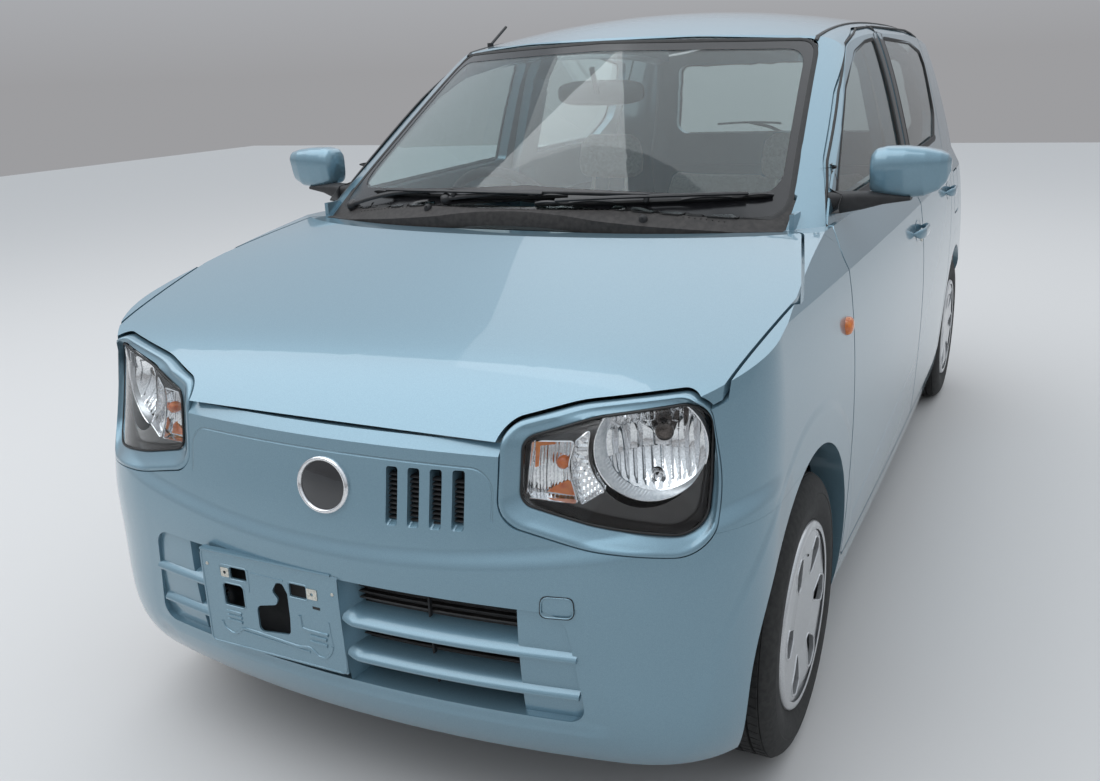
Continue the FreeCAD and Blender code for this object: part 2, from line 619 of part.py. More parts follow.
front_lining = wheel_house(FRONT_ARCH, 322, 399.3, 652, 300)
front_lining = front_lining.cut(cylinder(on_king(300), on_king(780), 75))
front_lining = front_lining.cut(box(390, 410, -1260, -1030, 290, 400))
front_lining = front_lining.cut(box(390, 400.4, -1006, -964, 290, 321))
rear_lining = wheel_house(REAR_ARCH, 310, 460, 652, 350 + SEAM)
front_hole = cylinder(on_king(795), on_king(830), 8.3)
for shape in (front_hole, mirrored(front_hole)):
    front_frame = front_frame.cut(shape)

# Wheels: tyre, rim, and the trim cover with its round-cornered holes; x grows outward
TYRE_SECTION = [
    (-52, 165.2), (-55, 178), (-62, 191), (-70, 210), (-72.5, 230), (-70, 252), (-60, 272), (-48, 279),
    (-20, 281), (20, 281), (48, 279), (60, 272), (70, 252), (72.5, 230), (70, 210), (62, 191), (55, 178),
    (52, 165.2),
]
RIM_SECTION = [
    (-57, 164.9), (-57, 158), (-40, 150), (22, 150), (22, 50), (32, 50), (32, 154), (57, 158), (57, 164.9),
]
HUB_SECTION = [(-30, 17.3), (32, 17.3), (32, 60), (22, 60), (22, 42), (-30, 42)]
DISC_SECTION = [(-30, 30), (-20, 30), (-20, 112), (-30, 112)]
COVER_SECTION = [
    (32, 0.0), (56, 0.0), (60, 40), (67, 100), (71, 155), (71, 178), (67, 187), (62.5, 187), (62.5, 160),
    (59, 100), (52, 50), (32, 50),
]
tyre = turned_x(TYRE_SECTION, 0, 0)
wheel = turned_x(RIM_SECTION, 0, 0)
for section in (HUB_SECTION, DISC_SECTION, COVER_SECTION):
    wheel = wheel.fuse(turned_x(section, 0, 0))
for i in range(6):
    window = rounded_outline(
        [(-30, 150, 12), (-14, 92, 8), (14, 92, 8), (30, 150, 12)], 0, lambda a, b: V(50, a, b))
    hole = Part.Face(window).extrude(V(30, 0, 0))
    hole.rotate(V(0, 0, 0), V(1, 0, 0), 60 * i + 30)
    wheel = wheel.cut(hole)
wheel = largest(wheel)


def placed(shape, x, y, z):
    copy = shape.copy()
    copy.translate(V(x, y, z))
    return copy


# Knuckle with stub axle, steering arm and strut, turning together about the steering axis
stub = cylinder(V(550, FRONT_AXLE_Y, AXLE_Z), V(WHEEL_X + 28, FRONT_AXLE_Y, AXLE_Z), STUB_RADIUS)
knuckle = stub.fuse(box(548, 590, FRONT_AXLE_Y - 32, FRONT_AXLE_Y + 32, 190, 400))
knuckle = knuckle.fuse(cylinder(on_king(340), on_king(700), 23))
knuckle = knuckle.fuse(cylinder(on_king(585), on_king(597), 62))
knuckle = knuckle.fuse(cylinder(on_king(690), on_king(814), 8))
knuckle = knuckle.fuse(cylinder(on_king(165), on_king(200), 8))
knuckle = knuckle.fuse(box(500, 560, FRONT_AXLE_Y + 20, FRONT_AXLE_Y + 110, 255, 275))

# Front suspension on the body: cross member, lower arms and steering rack
front_suspension = box(-330, 330, -1090, -1000, 205, 250)
rack = cylinder(V(-400, -985, 300), V(400, -985, 300), 20)
front_suspension = front_suspension.fuse(rack).fuse(box(-300, 300, -1010, -975, 240, 300))
front_suspension = front_suspension.fuse(box(-70, 70, -1200, -1080, 225, 262 - SEAM))
for side in (-1, 1):
    arm = plan_prism([(300, -1000, 10), (600, -1120, 18), (600, -1165, 18), (300, -1180, 10)], 168, 186)
    arm = arm.cut(cylinder(on_king(150), on_king(220), 8.3))
    link = box(300, 330, -1090, -1000, 168, 205)
    post = box(330, 345, -1090, -1010, 240, 359.7)
    for shape in (arm, link, post):
        front_suspension = front_suspension.fuse(shape if side > 0 else mirrored(shape))

# Rear axle: torsion beam, trailing arms and stubs; springs stand inside the arms
rear_axle = box(-505, 505, 1120, 1175, 215, 265)
for side in (-1, 1):
    parts_here = [
        box(505, 545, 990, 1350, 230, 285),
        cylinder(V(520, REAR_AXLE_Y, AXLE_Z), V(WHEEL_X + 28, REAR_AXLE_Y, AXLE_Z), STUB_RADIUS),
        cylinder(V(505, 1000, 258), V(560, 1000, 258), 30),
        cylinder(V(400, 1200, 240), V(400, 1200, 290 - SEAM), 45),
        box(380, 505, 1170, 1230, 225, 245),
    ]
    for shape in parts_here:
        rear_axle = rear_axle.fuse(shape if side > 0 else mirrored(shape))

# Power unit, tank and exhaust
engine_block = box(-300, 310, -1440, -1095, 262, 760)
fuel_tank = rounded_box(-330, 330, 520, 930, 215, 339.7, 25)
pipe = cylinder(V(40, -970, 184), V(40, 1180, 184), 21).fuse(cylinder(V(40, 1180, 184), V(250, 1420, 215), 21))
muffler = cylinder(V(60, 1440, 222), V(370, 1440, 222), 60)
tail_pipe = cylinder(V(390, 1440, 218), V(390, 1650, 218), 18)
exhaust = pipe.fuse([muffler, tail_pipe, cylinder(V(360, 1440, 218), V(392, 1440, 218), 18)])
for x, y, low, high in ((40, -760, 196, 236), (40, 300, 196, 236), (150, 1440, 270, 340), (300, 1440, 270, 340)):
    exhaust = exhaust.fuse(box(x - 8, x + 8, y - 15, y + 15, low, high - SEAM))

# Cabin: dashboard, steering wheel, seats
dash_points = [
    (-801.4, 800, 0), (-640, 700, 20), (-590, 720, 20), (-575, 900, 30), (-640, 955, 30), (-801.4, 965, 0),
]
dashboard = side_prism(dash_points, -560, 560)
STEER_CENTRE = V(-330, -370, 900)
STEER_TILT = math.radians(25)
steer_way = V(0, math.cos(STEER_TILT), math.sin(STEER_TILT))


def along_column(distance):
    return STEER_CENTRE.add(V(steer_way.x * distance, steer_way.y * distance, steer_way.z * distance))


column = cylinder(along_column(-300), along_column(-69 - SEAM), 38)
dashboard = dashboard.fuse(column)
rim = Part.makeTorus(178, 14, STEER_CENTRE, steer_way)
boss = cylinder(along_column(-69), along_column(0), 62)
steering_wheel = rim.fuse(boss)
spoke_right = Part.makeBox(340, 34, 22, V(-170, -17, -30))
spoke_right.rotate(V(0, 0, 0), V(1, 0, 0), -(90 - 25))
spoke_right.translate(STEER_CENTRE)
spoke_down = Part.makeBox(40, 22, 170, V(-20, -8, -172))
spoke_down.rotate(V(0, 0, 0), V(1, 0, 0), 25)
spoke_down.translate(STEER_CENTRE)
steering_wheel = steering_wheel.fuse([spoke_right, spoke_down])


def front_seat(x):
    cushion = rounded_box(x - 240, x + 240, -290, 225, 330, 490, 40)
    back = rounded_box(x - 235, x + 235, 160, 300, 400, 960, 45)
    back.rotate(V(x, 200, 450), V(1, 0, 0), -14)
    head = rounded_box(x - 125, x + 125, 330, 420, 950, 1110, 35)
    foot = box(x - 200, x + 200, -240, 190, 246, 345)
    posts = [cylinder(V(x + dx, 365, 930), V(x + dx, 375, 970), 7) for dx in (-60, 60)]
    return cushion.fuse([back, head, foot] + posts)


front_seats = {"left": front_seat(320), "right": front_seat(-320)}
bench = rounded_box(-560, 560, 640, 1130, 350.3, 510, 40)
bench_back = rounded_box(-445, 445, 1060, 1170, 420, 930, 40)
bench_back.rotate(V(0, 1100, 450), V(1, 0, 0), -10)
rear_bench = bench.cut(box(450, 600, 985, 1200, 300, 600)).cut(box(-600, -450, 985, 1200, 300, 600))
rear_bench = largest(rear_bench.fuse(bench_back))

# Door mirrors, indicators, aerial and wipers
skin_out = cabin_form(-SEAM)
mirror = rounded_box(712, 876, -668, -585, 1032, 1146, 30)
mirror_foot = rounded_box(600, 730, -690, -630, 1018, 1052, 8).cut(skin_out)
mirror = largest(mirror.fuse(mirror_foot))
repeater_skin = lower_form(-9).cut(lower_form(-SEAM))
repeater = largest(repeater_skin.common(cylinder(V(700, -870, 806), V(800, -870, 806), 19)))
AERIAL = V(-455, -190, 1404)
aerial = cylinder(V(AERIAL.x, AERIAL.y, 1380), AERIAL, 9).cut(below_roof(-SEAM))
aerial = largest(aerial.fuse(cylinder(AERIAL.add(V(0, 0, -6)), AERIAL.add(V(0, 100, 45)), 4)))


# Wipers lie just above the screen, both sweeping from pivots on the car's right
screen_skin = cabin_form(0).common(box(-600, 600, -1100, -600, 985, 1085))


def above_screen(x, z, lift):
    line = Part.makeLine(V(x, -1100, z), V(x, -650, z)).common(screen_skin)
    return V(x, line.BoundBox.YMin - lift * 0.566, z + lift * 0.824)


wipers = []
for pivot_x, foot_z, blade_x0, blade_x1, blade_z in ((-545, 1000, -440, 110, 1052), (-190, 1026, 60, 480, 1048)):
    foot = above_screen(pivot_x, foot_z, 4)
    pivot = foot.add(V(0, 0, 9))
    knee = above_screen((blade_x0 + blade_x1) / 2, blade_z, 18)
    clip = cylinder(knee, above_screen((blade_x0 + blade_x1) / 2, blade_z, 4), 4.5)
    base = largest(cylinder(foot.add(V(0, 0, -20)), foot.add(V(0, 0, 14)), 7).cut(skin_out).cut(bonnet_clear))
    middle = above_screen((pivot_x + knee.x) / 2, (foot_z + blade_z) / 2 + 4, 7)
    parts_here = [cylinder(pivot, middle, 4.5), cylinder(middle, knee, 4.5), clip]
    parts_here += [Part.makeSphere(4.5, bend) for bend in (pivot, middle, knee)]
    steps = 9
    for i in range(steps):
        start = above_screen(blade_x0 + (blade_x1 - blade_x0) * i / steps, blade_z, 4.8)
        end = above_screen(blade_x0 + (blade_x1 - blade_x0) * (i + 1) / steps, blade_z, 4.8)
        parts_here += [cylinder(start, end, 6), Part.makeSphere(6, end)]
    wipers.append(base.fuse(parts_here))
wiper_set = Part.makeCompound(wipers)

# Every named piece
pieces = {
    "floor_pan": floor_pan, "front_frame": front_frame, "side_frame_left": left_frame,
    "side_frame_right": mirrored(side_frame), "roof_panel": roof, "front_bumper": bumper,
    "bumper_slats": slats, "plate_panel": plate_panel, "bumper_mesh": mesh, "bonnet": bonnet,
    "cowl_panel": cowl, "windscreen": windscreen, "rear_bumper": rear_bumper, "tailgate": tailgate,
    "tailgate_glass": tailgate_glass, "fuel_lid": fuel_lid, "engine_block": engine_block,
    "front_suspension": front_suspension, "rear_axle": rear_axle, "fuel_tank": fuel_tank,
    "exhaust": exhaust, "dashboard": dashboard, "steering_wheel": steering_wheel,
    "front_seats": Part.makeCompound(list(front_seats.values())), "rear_bench": rear_bench,
    "aerial": aerial, "wipers": wiper_set,
}
paired_pieces = {
    "headlamp_surrounds": bezel, "headlamp_lenses": lens, "headlamp_dishes": dish,
    "tail_lamps": rear_lamp, "front_linings": front_lining, "rear_linings": rear_lining,
    "indicators": repeater,
}
for name, shape in paired_pieces.items():
    pieces[name] = Part.makeCompound([shape, mirrored(shape)])
mirrored_pieces = {"fender": fender, "mirror": mirror, "knuckle": knuckle}
for name, shape in list(doors.items()):
    mirrored_pieces[name[:-5]] = shape
for name, shape in mirrored_pieces.items():
    pieces[name + "_left"] = shape
    pieces[name + "_right"] = mirrored(shape)
for name, y in (("front", FRONT_AXLE_Y), ("rear", REAR_AXLE_Y)):
    for kind, shape in (("tyre", tyre), ("wheel", wheel)):
        left = placed(shape, WHEEL_X, y, AXLE_Z)
        pieces[kind + "_" + name + "_left"] = left
        pieces[kind + "_" + name + "_right"] = mirrored(left)

for name, shape in pieces.items():
    if not shape.isValid():
        print("not valid:", name)
    shape.exportStep("parts/" + name + ".step")
print(len(pieces), "pieces")
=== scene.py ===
import bmesh
import bpy
import json
import math
import numpy
from mathutils import Matrix, Vector
from mathutils.bvhtree import BVHTree
from mathutils.geometry import delaunay_2d_cdt

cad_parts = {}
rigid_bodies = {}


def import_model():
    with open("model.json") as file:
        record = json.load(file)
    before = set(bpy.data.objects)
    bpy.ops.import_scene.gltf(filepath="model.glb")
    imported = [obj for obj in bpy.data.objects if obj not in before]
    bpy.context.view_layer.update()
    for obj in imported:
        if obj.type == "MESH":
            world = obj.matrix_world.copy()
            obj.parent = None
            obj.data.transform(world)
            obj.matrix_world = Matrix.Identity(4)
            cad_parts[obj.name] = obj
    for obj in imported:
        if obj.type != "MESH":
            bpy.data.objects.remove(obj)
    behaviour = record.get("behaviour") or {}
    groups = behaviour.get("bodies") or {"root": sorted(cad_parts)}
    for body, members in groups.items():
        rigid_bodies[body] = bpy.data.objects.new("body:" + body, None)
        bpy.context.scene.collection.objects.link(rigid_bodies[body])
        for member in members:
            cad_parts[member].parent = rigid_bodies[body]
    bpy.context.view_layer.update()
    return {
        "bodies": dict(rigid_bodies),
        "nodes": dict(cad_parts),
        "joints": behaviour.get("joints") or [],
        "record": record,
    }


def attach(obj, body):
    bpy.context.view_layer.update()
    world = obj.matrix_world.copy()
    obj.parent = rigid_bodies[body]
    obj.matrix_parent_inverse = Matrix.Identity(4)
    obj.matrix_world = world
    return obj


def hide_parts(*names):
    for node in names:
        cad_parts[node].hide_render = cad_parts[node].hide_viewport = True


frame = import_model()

NODES = frame["nodes"]
X_WAY, Y_WAY, Z_WAY = Vector((1, 0, 0)), Vector((0, 1, 0)), Vector((0, 0, 1))
FORWARD = Vector((0, -1, 0))


# Body paint: a light metallic blue-grey base under a clear coat, sprayed over the
# pressed steel panels and the plastic bumpers. The presswork's shallow swages, too fine
# for the panels' own shape, are in the paint's relief: nose step, arch lips, door line.
def new_material(name):
    material = bpy.data.materials.new(name)
    material.use_nodes = True
    tree = material.node_tree
    return material, tree.nodes, tree.links, tree.nodes["Principled BSDF"]


def mottled(nodes, links, shader, socket, dark, light, scale, detail=4.0, low=0.35, high=0.65):
    place = nodes.new("ShaderNodeTexCoord")
    noise = nodes.new("ShaderNodeTexNoise")
    noise.inputs["Scale"].default_value = scale
    noise.inputs["Detail"].default_value = detail
    ramp = nodes.new("ShaderNodeValToRGB")
    ramp.color_ramp.elements[0].position = low
    ramp.color_ramp.elements[1].position = high
    ramp.color_ramp.elements[0].color = (*dark, 1)
    ramp.color_ramp.elements[1].color = (*light, 1)
    links.new(place.outputs["Object"], noise.inputs["Vector"])
    links.new(noise.outputs["Fac"], ramp.inputs["Fac"])
    links.new(ramp.outputs["Color"], shader.inputs[socket])
    return place


def grain(nodes, links, shader, place, scale, strength, distance=0.0005):
    noise = nodes.new("ShaderNodeTexNoise")
    noise.inputs["Scale"].default_value = scale
    bump = nodes.new("ShaderNodeBump")
    bump.inputs["Strength"].default_value = strength
    bump.inputs["Distance"].default_value = distance
    links.new(place.outputs["Object"], noise.inputs["Vector"])
    links.new(noise.outputs["Fac"], bump.inputs["Height"])
    links.new(bump.outputs["Normal"], shader.inputs["Normal"])
    return bump


def finish_of(name, dark, light, rough, scale=60.0, metal=0.0, relief=0.0, relief_scale=400.0, coat=0.0):
    material, nodes, links, shader = new_material(name)
    place = mottled(nodes, links, shader, "Base Color", dark, light, scale)
    shader.inputs["Roughness"].default_value = rough
    shader.inputs["Metallic"].default_value = metal
    shader.inputs["Coat Weight"].default_value = coat
    shader.inputs["Coat Roughness"].default_value = 0.04
    if relief:
        grain(nodes, links, shader, place, relief_scale, relief)
    return material


class Sums:
    def __init__(self, nodes, links):
        self.nodes = nodes
        self.links = links

    def __call__(self, operation, *values):
        node = self.nodes.new("ShaderNodeMath")
        node.operation = operation
        for i, value in enumerate(values):
            if isinstance(value, (int, float)):
                node.inputs[i].default_value = value
            else:
                self.links.new(value, node.inputs[i])
        return node.outputs[0]

    def step(self, value, start, end, low=0.0, high=1.0):
        node = self.nodes.new("ShaderNodeMapRange")
        node.interpolation_type = "SMOOTHSTEP"
        self.links.new(value, node.inputs["Value"])
        for socket, number in zip(("From Min", "From Max", "To Min", "To Max"), (start, end, low, high)):
            node.inputs[socket].default_value = number
        return node.outputs["Result"]


paint, nodes, links, shader = new_material("blue_grey_paint")
place = mottled(nodes, links, shader, "Base Color", (0.150, 0.262, 0.330), (0.190, 0.315, 0.385), 900.0)
shader.inputs["Metallic"].default_value = 0.5
shader.inputs["Roughness"].default_value = 0.33
shader.inputs["Coat Weight"].default_value = 1.0
shader.inputs["Coat Roughness"].default_value = 0.025
sums = Sums(nodes, links)
axes = nodes.new("ShaderNodeSeparateXYZ")
links.new(place.outputs["Object"], axes.inputs["Vector"])
out = sums("ABSOLUTE", axes.outputs["X"])
along = axes.outputs["Y"]
high = axes.outputs["Z"]
# Nose step: the bumper swells under a line that climbs from the middle to the wings
line_height = sums("MULTIPLY_ADD", sums("MULTIPLY", out, out), 0.21, 0.553)
swell = sums("MULTIPLY", sums.step(sums("SUBTRACT", high, line_height), -0.022, 0.020, 0.0130, 0.0),
    sums.step(along, -1.42, -1.30, 1, 0))
# Arch lips: a soft step that stands round each wheel opening
front_reach = sums("SQRT", sums("ADD", sums("POWER", sums("ADD", along, 1.150), 2.0),
    sums("POWER", sums("SUBTRACT", high, 0.275), 2.0)))
rear_reach = sums("SQRT", sums("ADD", sums("POWER", sums("SUBTRACT", along, 1.320), 2.0),
    sums("POWER", sums("SUBTRACT", high, 0.275), 2.0)))
on_side = sums.step(out, 0.58, 0.66)
lips = sums("MULTIPLY", on_side, sums("ADD", sums.step(front_reach, 0.415, 0.440, 0.0060, 0.0),
    sums.step(rear_reach, 0.385, 0.410, 0.0060, 0.0)))
# Door line: a rising swage low on the doors, and the sill's turned edge below them
door_line = sums("MULTIPLY_ADD", sums("POWER", sums("SUBTRACT", along, 0.9), 2.0), -0.055, 0.470)
swage = sums("MULTIPLY", sums("MULTIPLY", on_side, sums.step(sums("ABSOLUTE", sums("SUBTRACT", along, 0.10)),
    0.72, 0.86, 1, 0)), sums.step(sums("SUBTRACT", high, door_line), -0.016, 0.010, 0.0045, 0.0))
# Upper nose panel: a fine pressed line under the bonnet that turns down beside each lamp
panel_x = sums("MAXIMUM", sums("SUBTRACT", out, 0.280), 0.0)
panel_z = sums("MAXIMUM", sums("SUBTRACT", high, 0.682), 0.0)
corner = sums("SQRT", sums("ADD", sums("POWER", panel_x, 2.0), sums("POWER", panel_z, 2.0)))
edge = sums("ABSOLUTE", sums("SUBTRACT", corner, 0.040))
on_nose = sums("MULTIPLY", sums.step(along, -1.60, -1.55, 1, 0), sums.step(high, 0.634, 0.642, 0, 1))
pressed = sums("MULTIPLY", on_nose, sums.step(edge, 0.0005, 0.0024, -0.0016, 0.0))
# Chin: the turned edge under the mouth leans back and catches the light
chin = sums("MULTIPLY", sums("MULTIPLY", sums.step(along, -1.60, -1.55, 1, 0), sums.step(out, 0.46, 0.52, 1,
    0)), sums.step(high, 0.252, 0.290, 0.0130, 0.0))
relief = sums("ADD", sums("ADD", sums("ADD", swell, lips), chin), sums("ADD", swage, pressed))
shape = nodes.new("ShaderNodeBump")
shape.inputs["Strength"].default_value = 1.0
shape.inputs["Distance"].default_value = 1.0
links.new(relief, shape.inputs["Height"])
peel = grain(nodes, links, shader, place, 140.0, 0.02)
links.new(shape.outputs["Normal"], peel.inputs["Normal"])


def dress(node, material):
    mesh = NODES[node].data
    mesh.materials.clear()
    mesh.materials.append(material)


for name in ("side_frame_left", "side_frame_right", "roof_panel", "front_bumper", "bumper_slats",
        "plate_panel", "bonnet", "fender_left", "fender_right", "rear_bumper", "tailgate", "fuel_lid",
        "headlamp_surrounds", "mirror_left", "mirror_right", "door_front_left", "door_front_right",
        "door_rear_left", "door_rear_right"):
    dress(name, paint)


# Pieces are built from rows of points, swept along lines or turned, and laid on the panels
def make_piece(name, corners, faces, material, body, crease=40.0):
    mesh = bpy.data.meshes.new(name)
    mesh.from_pydata([tuple(corner) for corner in corners], [], faces)
    work = bmesh.new()
    work.from_mesh(mesh)
    bmesh.ops.remove_doubles(work, verts=work.verts, dist=1e-6)
    bmesh.ops.recalc_face_normals(work, faces=work.faces)
    work.to_mesh(mesh)
    work.free()
    mesh.shade_smooth()
    mesh.set_sharp_from_angle(angle=math.radians(crease))
    mesh.materials.append(material)
    piece = bpy.data.objects.new(name, mesh)
    bpy.context.scene.collection.objects.link(piece)
    if body:
        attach(piece, body)
    return piece


def make_pair(name, corners, faces, material, body_left, body_right, crease=40.0):
    left = make_piece(name + "_left", corners, faces, material, body_left, crease)
    right = make_piece(name + "_right", [(-c[0], c[1], c[2]) for c in corners], faces, material, body_right,
        crease)
    return left, right


def skin_of(*names):
    corners = []
    faces = []
    for name in names:
        mesh = NODES[name].data
        start = len(corners)
        corners += [v.co.copy() for v in mesh.vertices]
        faces += [[start + i for i in p.vertices] for p in mesh.polygons]
    return BVHTree.FromPolygons(corners, faces)


def touch(skin, start, way):
    way = Vector(way).normalized()
    point, normal, index, far = skin.ray_cast(Vector(start), way)
    if point is None:
        point, normal, index, far = skin.find_nearest(Vector(start))
    if normal.dot(way) > 0:
        normal = -normal
    return point, normal


# Faces between rows of points: the rows close into a ring, each row runs around, the ends get caps
def quads(runs, wide, ring=False, around=False, caps=False):
    faces = []
    for i in range(runs):
        a = i * wide
        b = ((i + 1) % runs if ring else i + 1) * wide
        for k in range(wide if around else wide - 1):
            l = (k + 1) % wide
            faces.append((a + k, a + l, b + l, b + k))
    if caps:
        faces += [tuple(range(wide)), tuple(runs * wide + k for k in range(wide))]
    return faces


def swept(points, normals, profile, closed=False):
    count = len(points)
    wide = len(profile)
    corners = []
    for i in range(count):
        before = points[i - 1] if closed or i > 0 else points[0]
        after = points[(i + 1) % count] if closed or i < count - 1 else points[-1]
        along = (after - before).normalized()
        side = along.cross(normals[i]).normalized()
        lift = side.cross(along).normalized()
        corners += [points[i] + side * u + lift * v for u, v in profile]
    return corners, quads(count if closed else count - 1, wide, ring=closed, around=True, caps=not closed)


def joined(*parts):
    corners = []
    faces = []
    for more, sides in parts:
        start = len(corners)
        corners += [Vector(c) for c in more]
        faces += [tuple(start + i for i in side) for side in sides]
    return corners, faces


def round_turns(count):
    return [(math.cos(2 * math.pi * k / count), math.sin(2 * math.pi * k / count)) for k in range(count)]


# A circle's cosine or sine, drawn out towards the corners of a square
def squared(value, power):
    return math.copysign(abs(value) ** power, value)


def round_section(radius, steps=8, high=1.0):
    return [(radius * c, radius * high * s) for c, s in round_turns(steps)]


def turned(profile, centre, axis, steps=24, start=None):
    axis = Vector(axis).normalized()
    out = axis.orthogonal().normalized() if start is None else Vector(start).normalized()
    other = axis.cross(out)
    corners = []
    for along, radius in profile:
        for c, s in round_turns(steps):
            corners.append(Vector(centre) + axis * along + (out * c + other * s) * radius)
    return corners, quads(len(profile) - 1, steps, around=True, caps=True)


# Closed outline through corner points (a, b, radius), grown outward, as points about step apart
def outline(points, grow=0.0, step=0.006):
    pairs = list(zip(points, points[1:] + points[:1]))
    area = sum(p[0] * q[1] - q[0] * p[1] for p, q in pairs)
    turn = 1.0 if area > 0 else -1.0
    sides = []
    for p, q in pairs:
        way = Vector((q[0] - p[0], q[1] - p[1])).normalized()
        sides.append((Vector(p[:2]) + Vector((way.y, -way.x)) * turn * grow, way))
    ends = []
    for i, point in enumerate(points):
        start, a = sides[i - 1]
        end, b = sides[i]
        bend = a.x * b.y - a.y * b.x
        gap = end - start
        corner = start + a * ((gap.x * b.y - gap.y * b.x) / bend)
        radius = max(point[2] + grow * turn * (1 if bend > 0 else -1), 0.0005)
        angle = a.angle(b)
        back = radius * math.tan(angle / 2)
        reach = 4 / 3 * math.tan(angle / 4) * radius
        ends.append((corner - a * back, a, corner + b * back, b, reach,
            max(2, int(radius * angle / step) + 1)))
    line = []
    for i, (first, a, last, b, reach, count) in enumerate(ends):
        p1 = first + a * reach
        p2 = last - b * reach
        for k in range(count + 1):
            t = k / count
            line.append(first * (1 - t) ** 3 + p1 * 3 * t * (1 - t) ** 2 + p2 * 3 * t * t * (1 - t)
                + last * t ** 3)
        following = ends[(i + 1) % len(ends)][0]
        run = (following - last).length
        line += [last.lerp(following, k / (int(run / step) + 1)) for k in range(1, int(run / step) + 1)]
    return line


def spaced(line, count, closed=True):
    whole = line + [line[0]] if closed else line
    marks = [0.0]
    for a, b in zip(whole, whole[1:]):
        marks.append(marks[-1] + (b - a).length)
    out = []
    j = 0
    for k in range(count):
        want = marks[-1] * k / (count if closed else count - 1)
        while j < len(marks) - 2 and marks[j + 1] < want:
            j += 1
        t = (want - marks[j]) / max(marks[j + 1] - marks[j], 1e-9)
        out.append(whole[j].lerp(whole[j + 1], min(max(t, 0.0), 1.0)))
    return out


def smooth_line(points, count, closed=False):
    points = [Vector(p) for p in points]
    size = len(points)
    runs = size if closed else size - 1
    out = []
    for k in range(count):
        where = runs * k / (count if closed else count - 1)
        i = min(int(where), runs - 1)
        t = where - i
        if closed:
            a, b, c, d = (points[(i + j) % size] for j in (-1, 0, 1, 2))
        else:
            a, b, c, d = (points[min(max(i + j, 0), size - 1)] for j in (-1, 0, 1, 2))
        out.append(0.5 * (2 * b + (c - a) * t + (2 * a - 5 * b + 4 * c - d) * t * t
            + (3 * b - 3 * c + d - a) * t ** 3))
    return out


# Flat sheet with holes, from closed outlines in two directions, placed by a function
def sheet_of(border, holes, place, thick=None):
    points = []
    edges = []
    for loop in [border] + holes:
        start = len(points)
        points += loop
        edges += [(start + i, start + (i + 1) % len(loop)) for i in range(len(loop))]
    flat, more, faces, a, b, c = delaunay_2d_cdt(points, edges, [], 1, 1e-7)
    keep = []
    for face in faces:
        centre = sum((flat[i] for i in face), Vector((0, 0))) / len(face)
        if not any(inside(centre, hole) for hole in holes):
            keep.append(tuple(face))
    corners = [Vector(place(p.x, p.y, 0.0)) for p in flat]
    if thick is None:
        return corners, keep
    back = [Vector(place(p.x, p.y, thick)) for p in flat]
    count = len(corners)
    used = {}
    for face in keep:
        for i, p in enumerate(face):
            q = face[(i + 1) % len(face)]
            used[(p, q)] = used.get((q, p), 0) + 1
    rim = [(p, q) for (p, q) in used if (q, p) not in used]
    sides = [(q, p, p + count, q + count) for p, q in rim]
    return corners + back, keep + [tuple(i + count for i in reversed(f)) for f in keep] + sides


def inside(point, loop):
    hit = False
    for i in range(len(loop)):
        a = loop[i - 1]
        b = loop[i]
        if (a.y > point.y) != (b.y > point.y):
            if point.x < (b.x - a.x) * (point.y - a.y) / (b.y - a.y) + a.x:
                hit = not hit
    return hit


# Copies of one small mesh set in a row or round a ring by a node tree
def repeat_tree(ring):
    tree = bpy.data.node_groups.new("ring_of_copies" if ring else "row_of_copies", "GeometryNodeTree")
    face = tree.interface
    face.new_socket("Geometry", in_out="INPUT", socket_type="NodeSocketGeometry")
    for label, kind in (("Count", "NodeSocketInt"), ("Step", "NodeSocketVector"),
            ("Finish", "NodeSocketMaterial")):
        face.new_socket(label, in_out="INPUT", socket_type=kind)
    face.new_socket("Geometry", in_out="OUTPUT", socket_type="NodeSocketGeometry")
    nodes = tree.nodes
    links = tree.links
    enter = nodes.new("NodeGroupInput")
    leave = nodes.new("NodeGroupOutput")
    line = nodes.new("GeometryNodeMeshLine")
    copies = nodes.new("GeometryNodeInstanceOnPoints")
    real = nodes.new("GeometryNodeRealizeInstances")
    cover = nodes.new("GeometryNodeSetMaterial")
    links.new(enter.outputs["Count"], line.inputs["Count"])
    links.new(line.outputs["Mesh"], copies.inputs["Points"])
    links.new(enter.outputs["Geometry"], copies.inputs["Instance"])
    if ring:
        line.inputs["Offset"].default_value = (0, 0, 0)
        number = nodes.new("GeometryNodeInputIndex")
        turn = nodes.new("ShaderNodeVectorMath")
        turn.operation = "SCALE"
        links.new(enter.outputs["Step"], turn.inputs[0])
        links.new(number.outputs["Index"], turn.inputs["Scale"])
        links.new(turn.outputs["Vector"], copies.inputs["Rotation"])
    else:
        links.new(enter.outputs["Step"], line.inputs["Offset"])
    links.new(copies.outputs["Instances"], real.inputs["Geometry"])
    links.new(real.outputs["Geometry"], cover.inputs["Geometry"])
    links.new(enter.outputs["Finish"], cover.inputs["Material"])
    links.new(cover.outputs["Geometry"], leave.inputs["Geometry"])
    return tree


ROW = repeat_tree(False)
RING = repeat_tree(True)


def repeated(name, tree, count, step, corners, faces, material, body, centre=None, crease=40.0):
    work = make_piece(name, corners, faces, material, None, crease)
    change = work.modifiers.new("copies", "NODES")
    change.node_group = tree
    keys = {item.name: item.identifier for item in tree.interface.items_tree if item.in_out == "INPUT"}
    change[keys["Count"]] = count
    change[keys["Step"]] = step
    change[keys["Finish"]] = material
    plain = bpy.data.meshes.new_from_object(work.evaluated_get(bpy.context.evaluated_depsgraph_get()))
    old = work.data
    work.modifiers.remove(change)
    work.data = plain
    bpy.data.meshes.remove(old)
    if centre is not None:
        plain.transform(Matrix.Translation(centre))
    plain.name = name
    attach(work, body)
    return work


